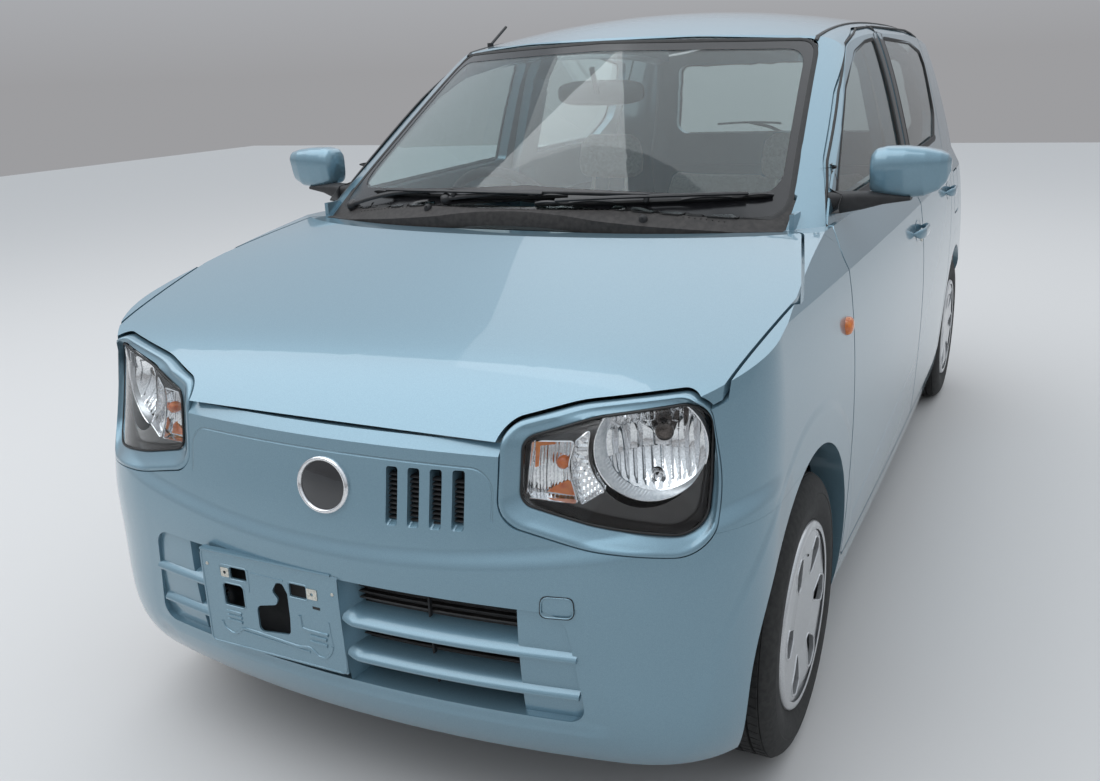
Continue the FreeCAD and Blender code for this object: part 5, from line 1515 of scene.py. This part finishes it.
flutes.inputs["Scale"].default_value = 60.0
links.new(place.outputs["Object"], flutes.inputs["Vector"])
ripple = nodes.new("ShaderNodeBump")
ripple.inputs["Strength"].default_value = 0.35
ripple.inputs["Distance"].default_value = 0.0012
links.new(flutes.outputs["Fac"], ripple.inputs["Height"])
links.new(ripple.outputs["Normal"], shader.inputs["Normal"])
dress("tail_lamps", tail_red)
lamp_skin = skin_of("tail_lamps")


def from_behind(skin, x, z, lift=0.0, default=1.64):
    point, normal, index, far = skin.ray_cast(Vector((x, 2.4, z)), FORWARD)
    if point is None:
        return Vector((x, default, z))
    return point + Vector((0, lift, 0))


frames = []
loop = spaced(outline([(0.474, 0.460, 0.012), (0.690, 0.453, 0.012), (0.690, 0.583, 0.012),
    (0.474, 0.576, 0.012)]), 120)
frames.append(swept([from_behind(lamp_skin, p.x, p.y, 0.0) for p in loop], [Y_WAY] * 120,
    round_section(0.0022, 6, 0.7), closed=True))
for z in (0.4965, 0.5205):
    frames.append(swept([from_behind(lamp_skin, 0.476 + 0.212 * i / 20, z, 0.0) for i in range(21)],
        [Y_WAY] * 21, round_section(0.0018, 6, 0.7)))
make_pair("tail_lamp_edges", *joined(*frames), seal_black, "car", "car", 50.0)

gate_skin = skin_of("tailgate", "tailgate_glass")
loop = spaced(outline([(-0.505, 1.020, 0.03), (0.505, 1.020, 0.03), (0.450, 1.308, 0.04),
    (-0.450, 1.308, 0.04)], 0.003), 240)
line = [from_behind(gate_skin, p.x, p.y, 0.0) for p in loop]
make_piece("rear_glass_moulding", *swept(line, [Vector((0, 1, 0.2)).normalized()] * 240,
    [(-0.0060, -0.004), (-0.0060, 0.0006), (0.0, 0.0022), (0.0060, 0.0006), (0.0060, -0.004)], closed=True),
    seal_black, "tailgate", 50.0)
recess = []
for p in spaced(outline([(-0.190, 0.690, 0.012), (0.190, 0.690, 0.012), (0.190, 0.865, 0.014),
        (-0.190, 0.865, 0.014)]), 200):
    recess.append(from_behind(gate_skin, p.x, p.y, 0.0))
corners, faces = swept(recess, [Y_WAY] * 200, round_section(0.0028, 8, 0.8), closed=True)
make_piece("plate_place_edge", corners, faces, paint, "tailgate", 60.0)
grip = []
for i in range(31):
    x = -0.180 + 0.360 * i / 30
    base = from_behind(gate_skin, x, 0.885)
    end = math.sqrt(max(0.0, 1 - (2 * i / 30 - 1) ** 10)) + 0.03
    for dy, dz in ((-0.002, 0.016), (0.014, 0.016), (0.022, 0.010), (0.024, -0.004), (0.018, -0.014),
            (0.008, -0.012), (-0.002, -0.014)):
        grip.append(base + Vector((0, dy * end if dy > 0 else dy, dz * end)))
faces = quads(30, 7, around=True, caps=True)
make_piece("tailgate_grip", grip, faces, black, "tailgate", 60.0)
rear_foot = from_behind(gate_skin, 0.0, 0.985, 0.010)
rear_knee = from_behind(gate_skin, -0.190, 1.062, 0.012)
mid = from_behind(gate_skin, -0.090, 1.035, 0.016)
arm_line = [Vector(p) for p in smooth_line([tuple(rear_foot), tuple(mid), tuple(rear_knee)], 16)]
rear_parts = [swept(arm_line, [Vector((0, 1, 0.2)).normalized()] * 16, [(-0.0070, -0.002), (-0.0055, 0.0035),
    (0.0055, 0.0035), (0.0070, -0.002)]), turned([(-0.016, 0.018), (0.002, 0.018), (0.008, 0.014),
    (0.010, 0.0004)], rear_foot, (0, 1, 0.2), 28)]
rear_blade = [from_behind(gate_skin, -0.330 + 0.280 * i / 20, 1.056 + 0.006 * math.sin(math.pi * i / 20),
    0.0025) for i in range(21)]
rear_parts.append(swept(rear_blade, [Vector((0, 1, 0.2)).normalized()] * 21,
    [(-0.0045, -0.002), (-0.0035, 0.0070), (0.0035, 0.0070), (0.0045, -0.002)]))
make_piece("rear_wiper", *joined(*rear_parts), wiper_black, "tailgate", 50.0)
stop = []
for p in spaced(outline([(-0.085, 1.326, 0.006), (0.085, 1.326, 0.006), (0.085, 1.346, 0.006),
        (-0.085, 1.346, 0.006)]), 80):
    stop.append(from_behind(gate_skin, p.x, p.y, 0.0014))
stop_red = finish_of("stop_lens", (0.30, 0.006, 0.008), (0.42, 0.010, 0.012), 0.12, 300.0, coat=1.0)
make_piece("high_stop_lamp", stop, [tuple(range(80))], stop_red, "tailgate")


# Seats: foam pads in knitted cloth over steel frames, with sewn channels along and across
# each pad. The covers are pulled over the foam and clipped underneath.
cloth_light, nodes, links, shader = new_material("seat_cloth")
shader.inputs["Roughness"].default_value = 0.92
shader.inputs["Sheen Weight"].default_value = 0.35
place = mottled(nodes, links, shader, "Base Color", (0.36, 0.345, 0.32), (0.50, 0.485, 0.455), 130.0)
weave_a = nodes.new("ShaderNodeTexWave")
weave_a.inputs["Scale"].default_value = 300.0
weave_b = nodes.new("ShaderNodeTexWave")
weave_b.bands_direction = "Y"
weave_b.inputs["Scale"].default_value = 300.0
weave_c = nodes.new("ShaderNodeTexWave")
weave_c.bands_direction = "Z"
weave_c.inputs["Scale"].default_value = 300.0
where = nodes.new("ShaderNodeTexCoord")
total = nodes.new("ShaderNodeMath")
total.operation = "ADD"
whole = nodes.new("ShaderNodeMath")
whole.operation = "ADD"
for wave in (weave_a, weave_b, weave_c):
    links.new(where.outputs["Object"], wave.inputs["Vector"])
links.new(weave_a.outputs["Fac"], total.inputs[0])
links.new(weave_b.outputs["Fac"], total.inputs[1])
links.new(total.outputs["Value"], whole.inputs[0])
links.new(weave_c.outputs["Fac"], whole.inputs[1])
knit = nodes.new("ShaderNodeBump")
knit.inputs["Strength"].default_value = 0.45
knit.inputs["Distance"].default_value = 0.0006
links.new(whole.outputs["Value"], knit.inputs["Height"])
links.new(knit.outputs["Normal"], shader.inputs["Normal"])


def pad_form(sections, around=56):
    corners = []
    for middle, wide, thick, half_w, half_t in sections:
        for c, s in round_turns(around):
            corners.append(middle + wide * half_w * squared(c, 0.42) + thick * half_t * squared(s, 0.55))
    count = len(sections)
    faces = quads(count - 1, around, around=True, caps=True)
    return corners, faces


def plain_copy(work):
    graph = bpy.context.evaluated_depsgraph_get()
    return bpy.data.meshes.new_from_object(work.evaluated_get(graph))


def puffed(corners, faces, voxel, cap, seams):
    mesh = bpy.data.meshes.new("pad_work")
    mesh.from_pydata([tuple(c) for c in corners], [], faces)
    work_mesh = bmesh.new()
    work_mesh.from_mesh(mesh)
    bmesh.ops.recalc_face_normals(work_mesh, faces=work_mesh.faces)
    work_mesh.to_mesh(mesh)
    work_mesh.free()
    work = bpy.data.objects.new("pad_work", mesh)
    bpy.context.scene.collection.objects.link(work)
    remesh = work.modifiers.new("voxels", "REMESH")
    remesh.mode = "VOXEL"
    remesh.voxel_size = voxel
    plain = plain_copy(work)
    work.modifiers.clear()
    work.data = plain
    start = numpy.zeros(len(plain.vertices) * 3)
    plain.vertices.foreach_get("co", start)
    cloth = work.modifiers.new("foam", "CLOTH")
    cloth.settings.use_pressure = True
    cloth.settings.uniform_pressure_force = 4.0
    cloth.settings.effector_weights.gravity = 0.0
    cloth.point_cache.frame_start = 1
    cloth.point_cache.frame_end = 20
    for frame in range(1, 21):
        bpy.context.scene.frame_set(frame)
    swollen = plain_copy(work)
    work.modifiers.clear()
    work.data = swollen
    moved = numpy.zeros(len(start))
    swollen.vertices.foreach_get("co", moved)
    moves = (moved - start).reshape(-1, 3)
    reach = numpy.maximum(numpy.linalg.norm(moves, axis=1), 1e-9)
    moves *= numpy.minimum(1.0, cap / reach)[:, None]
    swollen.vertices.foreach_set("co", start + moves.ravel())
    bpy.context.scene.frame_set(1)
    finer = work.modifiers.new("finer", "SUBSURF")
    finer.levels = finer.render_levels = 1
    smooth = plain_copy(work)
    work.modifiers.clear()
    bpy.data.objects.remove(work)
    places = numpy.zeros(len(smooth.vertices) * 3)
    smooth.vertices.foreach_get("co", places)
    ways = numpy.zeros(len(smooth.vertices) * 3)
    smooth.vertex_normals.foreach_get("vector", ways)
    places = places.reshape(-1, 3)
    ways = ways.reshape(-1, 3)
    deep = numpy.zeros(len(places))
    for distance, width, amount in seams:
        deep += amount * numpy.exp(-(distance(places[:, 0], places[:, 1], places[:, 2]) / width) ** 2)
    places -= ways * numpy.minimum(deep, 0.014)[:, None]
    smooth.vertices.foreach_set("co", places.ravel())
    smooth.update()
    return smooth


def make_pad(name, plain, material, shift, mirror_x):
    copy = plain.copy()
    copy.name = name
    if mirror_x:
        for v in copy.vertices:
            v.co.x = -v.co.x
        copy.flip_normals()
    copy.transform(Matrix.Translation(Vector(shift)))
    copy.materials.clear()
    copy.materials.append(material)
    copy.shade_smooth()
    pad = bpy.data.objects.new(name, copy)
    bpy.context.scene.collection.objects.link(pad)
    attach(pad, "car")
    return pad


LEAN = math.radians(14)
back_up = Vector((0, math.sin(LEAN), math.cos(LEAN)))
back_out = Vector((0, math.cos(LEAN), -math.sin(LEAN)))
sections = []
for s, half_w, half_t, dz in ((0.0, 0.190, 0.045, -0.012), (0.02, 0.215, 0.062, -0.004),
        (0.10, 0.224, 0.068, 0.004), (0.35, 0.226, 0.064, 0.0), (0.65, 0.224, 0.062, -0.006),
        (0.90, 0.220, 0.060, -0.010), (0.98, 0.212, 0.052, -0.012), (1.0, 0.190, 0.036, -0.014)):
    sections.append((Vector((0, -0.278 + 0.490 * s, 0.412 + dz)), X_WAY, Z_WAY, half_w, half_t))
cushion_seams = [(lambda x, y, z: abs(abs(x) - 0.145), 0.006, 0.008),
    (lambda x, y, z: numpy.where(abs(x) > 0.145, 9.0, abs(y + 0.060)), 0.006, 0.006),
    (lambda x, y, z: numpy.where(abs(x) > 0.145, 9.0, abs(y - 0.060)), 0.006, 0.006)]
cushion = puffed(*pad_form(sections), 0.010, 0.024, cushion_seams)
sections = []
for s, half_w, half_t in ((0.0, 0.180, 0.035), (0.03, 0.210, 0.048), (0.20, 0.222, 0.055),
        (0.50, 0.222, 0.052), (0.80, 0.208, 0.046), (0.95, 0.180, 0.042), (1.0, 0.140, 0.026)):
    sections.append((Vector((0, 0.228, 0.455)) + back_up * (0.500 * s - 0.010), X_WAY, back_out, half_w,
        half_t))
back_seams = [(lambda x, y, z: abs(abs(x) - 0.135), 0.006, 0.007),
    (lambda x, y, z: numpy.where(abs(x) > 0.135, 9.0, abs(z - 0.640)), 0.006, 0.006),
    (lambda x, y, z: numpy.where(abs(x) > 0.135, 9.0, abs(z - 0.760)), 0.006, 0.006)]
backrest = puffed(*pad_form(sections), 0.010, 0.024, back_seams)
sections = [(Vector((0, 0.376, 0.960 + 0.142 * s)), X_WAY, Y_WAY, half_w, half_t) for s, half_w,
    half_t in ((0.0, 0.090, 0.022), (0.10, 0.112, 0.034), (0.45, 0.116, 0.036), (0.85, 0.104, 0.030),
    (1.0, 0.076, 0.016))]
headrest = puffed(*pad_form(sections, 40), 0.008, 0.022, [(lambda x, y, z: abs(z - 1.030), 0.005, 0.003)])
for side, x in (("left", 0.320), ("right", -0.320)):
    make_pad("cushion_" + side, cushion, cloth_light, (x, 0, 0), False)
    make_pad("backrest_" + side, backrest, cloth_light, (x, 0, 0), False)
    make_pad("headrest_" + side, headrest, cloth_light, (x, 0, 0), False)
    parts = []
    for dx in (-0.060, 0.060):
        parts.append(turned([(0.0, 0.006), (0.110, 0.006)], Vector((x + dx, 0.352, 0.880)),
            tuple(Vector((0, 0.10, 0.99)).normalized()), 16))
    make_piece("headrest_posts_" + side, *joined(*parts), steel, "car", 50.0)
    frame_parts = []
    for dx in (-0.190, 0.190):
        line = [Vector((x + dx, -0.240, 0.262)), Vector((x + dx, 0.190, 0.262))]
        frame_parts.append(swept(line, [Z_WAY] * 2, [(-0.018, -0.013), (-0.018, 0.012), (0.018, 0.012),
            (0.018, -0.013)]))
        for y in (-0.200, 0.150):
            frame_parts.append(swept([Vector((x + dx, y, 0.270)), Vector((x + dx, y, 0.350))], [X_WAY] * 2,
                [(-0.020, -0.004), (-0.020, 0.004), (0.020, 0.004), (0.020, -0.004)]))
    make_piece("seat_rails_" + side, *joined(*frame_parts), black, "car")
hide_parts("front_seats")
bench_sections = []
for s, half_w, half_t, dz in ((0.0, 0.520, 0.050, -0.006), (0.02, 0.535, 0.064, 0.0),
        (0.15, 0.542, 0.066, 0.004), (0.60, 0.544, 0.062, -0.002), (0.96, 0.430, 0.056, -0.006),
        (1.0, 0.420, 0.036, -0.008)):
    bench_sections.append((Vector((0, 0.655 + 0.430 * s, 0.432 + dz)), X_WAY, Z_WAY, half_w, half_t))
bench = puffed(*pad_form(bench_sections, 96), 0.013, 0.022,
    [(lambda x, y, z: abs(abs(x) - 0.190), 0.008, 0.008), (lambda x, y, z: abs(y - 0.860), 0.008, 0.006)])
bench_pad = make_pad("bench_cushion", bench, cloth_light, (0, 0, 0), False)
BENCH_LEAN = math.radians(10)
bench_up = Vector((0, math.sin(BENCH_LEAN), math.cos(BENCH_LEAN)))
bench_out = Vector((0, math.cos(BENCH_LEAN), -math.sin(BENCH_LEAN)))
bench_sections = []
for s, half_w, half_t in ((0.0, 0.400, 0.026), (0.04, 0.425, 0.036), (0.30, 0.430, 0.042),
        (0.80, 0.426, 0.038), (0.96, 0.410, 0.030), (1.0, 0.385, 0.016)):
    bench_sections.append((Vector((0, 1.120, 0.455)) + bench_up * 0.455 * s, X_WAY, bench_out, half_w,
        half_t))
bench_back = puffed(*pad_form(bench_sections, 96), 0.012, 0.022,
    [(lambda x, y, z: abs(abs(x) - 0.005), 0.008, 0.008), (lambda x, y, z: abs(z - 0.700), 0.008, 0.006)])
make_pad("bench_back", bench_back, cloth_light, (0, 0, 0), False)
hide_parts("rear_bench")


# Cabin: moulded plastic dashboard with round vents, a meter hood and a pale lower panel,
# and a steering wheel with a foamed rim and a padded boss. Both are grained in the mould.
dash_dark = finish_of("dash_grain", (0.030, 0.030, 0.032), (0.050, 0.050, 0.053), 0.62, 70.0, relief=0.4,
    relief_scale=1500.0)
dash_pale = finish_of("dash_pale", (0.34, 0.33, 0.31), (0.44, 0.43, 0.40), 0.55, 70.0, relief=0.35,
    relief_scale=1500.0)
dress("dashboard", dash_dark)
dash_skin = skin_of("dashboard")


def on_dash(x, z, lift=0.0):
    point, normal, index, far = dash_skin.ray_cast(Vector((x, 0.0, z)), FORWARD)
    if point is None:
        return Vector((x, -0.575 + lift, z))
    return point + Vector((0, lift, 0))


panel = []
for i in range(29):
    for j, z in enumerate((0.760, 0.775, 0.800, 0.825, 0.845)):
        swell = 0.010 * math.sin(math.pi * j / 4) ** 0.5
        panel.append(on_dash(-0.545 + 1.090 * i / 28, z, 0.001 + swell))
make_piece("dash_lower_panel", panel, quads(28, 5), dash_pale, "car")
vents = []
bars = []
for x in (-0.500, -0.085, 0.085, 0.500):
    at = on_dash(x, 0.885)
    vents.append(turned([(-0.004, 0.046), (0.006, 0.0455), (0.008, 0.042), (0.006, 0.038), (-0.004, 0.037)],
        at, (0, 1, 0), 40))
    for k in range(-3, 4):
        half = math.sqrt(max(0.0004, 0.037 ** 2 - (0.010 * k) ** 2))
        bars.append(swept([at + Vector((-half, 0.002, 0.010 * k)), at + Vector((half, 0.002, 0.010 * k))],
            [Y_WAY] * 2, [(-0.0012, -0.006), (-0.0012, 0.001), (0.0012, 0.001), (0.0012, -0.006)]))
make_piece("dash_vents", *joined(*vents), silver, "car", 50.0)
make_piece("dash_vent_slats", *joined(*bars), black, "car")
hood = []
for i in range(25):
    t = math.pi * i / 24
    for y, grow in ((-0.700, 0.88), (-0.560, 1.0), (-0.548, 0.99), (-0.560, 0.955), (-0.690, 0.84)):
        hood.append(Vector((-0.330 - 0.165 * grow * math.cos(t), y,
            0.905 + 0.068 * grow * math.sin(t) ** 0.8)))
make_piece("meter_hood", hood, quads(24, 5, around=True), dash_dark, "car", 60.0)
dial = finish_of("meter_face", (0.010, 0.010, 0.012), (0.016, 0.016, 0.018), 0.15, coat=1.0)
face_loop = [Vector((-0.330 - 0.148 * math.cos(2 * math.pi * k / 72), -0.572,
    0.898 + 0.052 * math.sin(2 * math.pi * k / 72))) for k in range(72)]
make_piece("meter_face", face_loop, [tuple(range(72))], dial, "car")
tick_white = finish_of("meter_ticks", (0.62, 0.62, 0.60), (0.70, 0.70, 0.68), 0.5)
tick = [Vector((-0.0010, 0.0, 0.037)), Vector((0.0010, 0.0, 0.037)), Vector((0.0010, 0.0, 0.044)),
    Vector((-0.0010, 0.0, 0.044)), Vector((-0.0010, 0.0008, 0.037)), Vector((0.0010, 0.0008, 0.037)),
    Vector((0.0010, 0.0008, 0.044)), Vector((-0.0010, 0.0008, 0.044))]
repeated("meter_marks", RING, 36, (0, math.radians(10), 0), tick, [(0, 1, 2, 3), (4, 5, 6, 7), (0, 1, 5, 4),
    (1, 2, 6, 5), (2, 3, 7, 6), (3, 0, 4, 7)], tick_white, "car", centre=(-0.330, -0.5712, 0.898))
stack = []
for y, grow in ((-0.580, 1.0), (-0.566, 1.0), (-0.560, 0.94)):
    for p in spaced(outline([(-0.105, 0.735, 0.02), (0.105, 0.735, 0.02), (0.110, 0.832, 0.02),
            (-0.110, 0.832, 0.02)], (grow - 1) * 0.1), 80):
        stack.append(Vector((p.x, y, p.y)))
stack_faces = quads(2, 80, around=True) + [tuple(160 + k for k in range(80))]
make_piece("centre_panel", stack, stack_faces, dash_dark, "car", 40.0)
knobs = []
for x in (-0.060, 0.0, 0.060):
    knobs.append(turned([(0.0, 0.018), (0.010, 0.0175), (0.013, 0.0155), (0.014, 0.012), (0.0142, 0.0004)],
        Vector((x, -0.560, 0.768)), (0, 1, 0), 36))
make_piece("climate_knobs", *joined(*knobs), silver, "car", 50.0)

STEER = Vector((-0.330, -0.370, 0.900))
AWAY = Vector((0, math.cos(math.radians(25)), math.sin(math.radians(25))))
UP_WHEEL = Vector((0, -math.sin(math.radians(25)), math.cos(math.radians(25))))
rim = []
RIM_STEPS, RIM_AROUND = 120, 20
for i in range(RIM_STEPS):
    t = 2 * math.pi * i / RIM_STEPS
    out = X_WAY * math.cos(t) + UP_WHEEL * math.sin(t)
    for k in range(RIM_AROUND):
        a = 2 * math.pi * k / RIM_AROUND
        bump = 0.0008 * math.cos(6 * a) if math.sin(t) < -0.2 else 0.0
        rim.append(STEER + out * (0.178 + (0.0132 + bump) * math.cos(a)) + AWAY * (0.0138 * math.sin(a)))
rim_faces = quads(RIM_STEPS, RIM_AROUND, ring=True, around=True)
boss = []
for depth, size in ((-0.066, 0.60), (-0.040, 0.80), (-0.012, 0.98), (0.0, 1.0), (0.010, 0.94), (0.016, 0.78),
        (0.018, 0.50), (0.0185, 0.02)):
    for c, s in round_turns(48):
        boss.append(STEER + AWAY * (depth - 0.018) + X_WAY * 0.074 * size * squared(c, 0.7)
            + UP_WHEEL * 0.062 * size * squared(s, 0.7))
boss_faces = quads(7, 48, around=True, caps=True)
spokes = []
for way, half in ((X_WAY, 0.020), (-X_WAY, 0.020), (-UP_WHEEL, 0.016)):
    line = [STEER + way * r - AWAY * d for r, d in ((0.040, 0.034), (0.090, 0.030), (0.130, 0.020),
        (0.174, 0.004))]
    spokes.append(swept(line, [AWAY] * 4, [(-half, -0.006), (-half * 0.8, 0.005), (0.0, 0.008),
        (half * 0.8, 0.005), (half, -0.006)]))
piece = make_piece("steering_rim", *joined((rim, rim_faces), (boss, boss_faces), *spokes), dash_dark,
    "steering_wheel", 50.0)
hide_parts("steering_wheel")
stalks = []
for x in (-0.045, 0.045):
    base = STEER - AWAY * 0.105 + X_WAY * x
    tip = base + X_WAY * (0.125 if x > 0 else -0.125) + AWAY * 0.020
    line = [base, base.lerp(tip, 0.5) + AWAY * 0.004, tip]
    stalks.append(swept(line, [AWAY] * 3, round_section(0.0065, 10, 1.0)))
make_piece("column_stalks", *joined(*stalks), black, "car", 50.0)


# Underneath: the engine and knuckles are bare cast metal, the struts, springs, axle and
# tank are black painted steel, the pipe is plain steel, and felt linings fill the arches.
cast_metal = finish_of("cast_metal", (0.16, 0.16, 0.165), (0.30, 0.30, 0.305), 0.50, 90.0, metal=0.85,
    relief=0.5, relief_scale=900.0)
chassis_black = finish_of("chassis_black", (0.014, 0.014, 0.015), (0.032, 0.031, 0.030), 0.48, 40.0,
    relief=0.25, relief_scale=500.0)
pipe_steel = finish_of("pipe_steel", (0.22, 0.19, 0.16), (0.40, 0.37, 0.33), 0.42, 30.0, metal=0.9,
    relief=0.2)
felt = finish_of("arch_felt", (0.016, 0.016, 0.016), (0.036, 0.035, 0.034), 0.95, 200.0, relief=0.6,
    relief_scale=900.0)
for finish, names in ((cast_metal, ("engine_block", "knuckle_left", "knuckle_right")),
        (chassis_black, ("front_suspension", "rear_axle", "fuel_tank")), (pipe_steel, ("exhaust",)),
        (felt, ("front_linings", "rear_linings"))):
    for name in names:
        dress(name, finish)
coil_parts = []
for side in (1, -1):
    foot, head = Vector((side * 0.590, -1.140, 0.175)), Vector((side * 0.490, -1.140, 0.800))
    way = (head - foot).normalized()
    flat = way.cross(Y_WAY).normalized()
    line = []
    for i in range(150):
        share = i / 149
        turn = 2 * math.pi * 5.5 * share
        middle = foot + way * ((0.470 + 0.225 * share - 0.175) / way.z)
        line.append(middle + (flat * math.cos(turn) + Y_WAY * math.sin(turn)) * 0.056)
    coil_parts.append(swept(line, [Z_WAY] * 150,
        [(0.0055 * math.cos(2 * math.pi * k / 10), 0.0055 * math.sin(2 * math.pi * k / 10))
        for k in range(10)]))
make_piece("front_springs", *joined(*coil_parts), chassis_black, "car", 60.0)


# Studio: pale floor, soft lamps, and a camera where the photograph was taken
mesh = bpy.data.meshes.new("studio_floor")
mesh.from_pydata([(-14, -14, 0), (14, -14, 0), (14, 14, 0), (-14, 14, 0)], [], [(0, 1, 2, 3)])
floor = bpy.data.objects.new("studio_floor", mesh)
bpy.context.scene.collection.objects.link(floor)
floor_finish, nodes, links, shader = new_material("pale_floor")
shader.inputs["Base Color"].default_value = (0.60, 0.59, 0.58, 1)
shader.inputs["Roughness"].default_value = 0.8
mesh.materials.append(floor_finish)

world = bpy.data.worlds.new("studio_sky")
bpy.context.scene.world = world
world.use_nodes = True
nodes = world.node_tree.nodes
links = world.node_tree.links
sky = nodes["Background"]
where = nodes.new("ShaderNodeTexCoord")
parts = nodes.new("ShaderNodeSeparateXYZ")
fade = nodes.new("ShaderNodeValToRGB")
fade.color_ramp.elements[0].position = 0.0
fade.color_ramp.elements[0].color = (0.30, 0.30, 0.31, 1)
fade.color_ramp.elements[1].position = 1.0
fade.color_ramp.elements[1].color = (0.86, 0.93, 1.0, 1)
middle = fade.color_ramp.elements.new(0.28)
middle.color = (0.50, 0.53, 0.57, 1)
links.new(where.outputs["Generated"], parts.inputs["Vector"])
links.new(parts.outputs["Z"], fade.inputs["Fac"])
links.new(fade.outputs["Color"], sky.inputs["Color"])
sky.inputs["Strength"].default_value = 1.12


def soft_lamp(name, place, aim, size, power, colour=(1, 1, 1)):
    data = bpy.data.lights.new(name, "AREA")
    data.shape = "RECTANGLE"
    data.size, data.size_y = size
    data.energy = power
    data.color = colour
    lamp = bpy.data.objects.new(name, data)
    bpy.context.scene.collection.objects.link(lamp)
    lamp.location = place
    lamp.rotation_euler = (Vector(aim) - Vector(place)).to_track_quat("-Z", "Y").to_euler()
    return lamp


soft_lamp("key_lamp", (-2.2, -2.4, 5.6), (0, -0.8, 0.6), (7.0, 6.0), 190, (0.97, 0.98, 1.0))
soft_lamp("top_lamp", (0.3, 3.4, 6.0), (0, 0.4, 0.4), (8.0, 6.0), 90, (0.98, 0.99, 1.0))

EYE = Vector((1.10189973, -2.98916903, 1.33441344))
FOCAL_PIXELS, PHOTO_WIDE, SENSOR_WIDE = 1040.5749, 1100, 36.0
YAW, PITCH, ROLL = (math.radians(a) for a in (26.70032966, 17.32398031, -2.28961988))
ahead = Vector((-math.sin(YAW) * math.cos(PITCH), math.cos(YAW) * math.cos(PITCH), -math.sin(PITCH)))
level = ahead.cross(Z_WAY).normalized()
upright = level.cross(ahead)
view_x = math.cos(ROLL) * level + math.sin(ROLL) * upright
view_y = -math.sin(ROLL) * level + math.cos(ROLL) * upright
camera_data = bpy.data.cameras.new("photo_camera")
camera_data.sensor_width = SENSOR_WIDE
camera_data.lens = SENSOR_WIDE * FOCAL_PIXELS / PHOTO_WIDE
camera = bpy.data.objects.new("photo_camera", camera_data)
bpy.context.scene.collection.objects.link(camera)
camera.matrix_world = Matrix.Translation(EYE) @ Matrix((view_x, view_y, -ahead)).transposed().to_4x4()
bpy.context.scene.camera = camera
bpy.context.scene.view_settings.view_transform = "Standard"
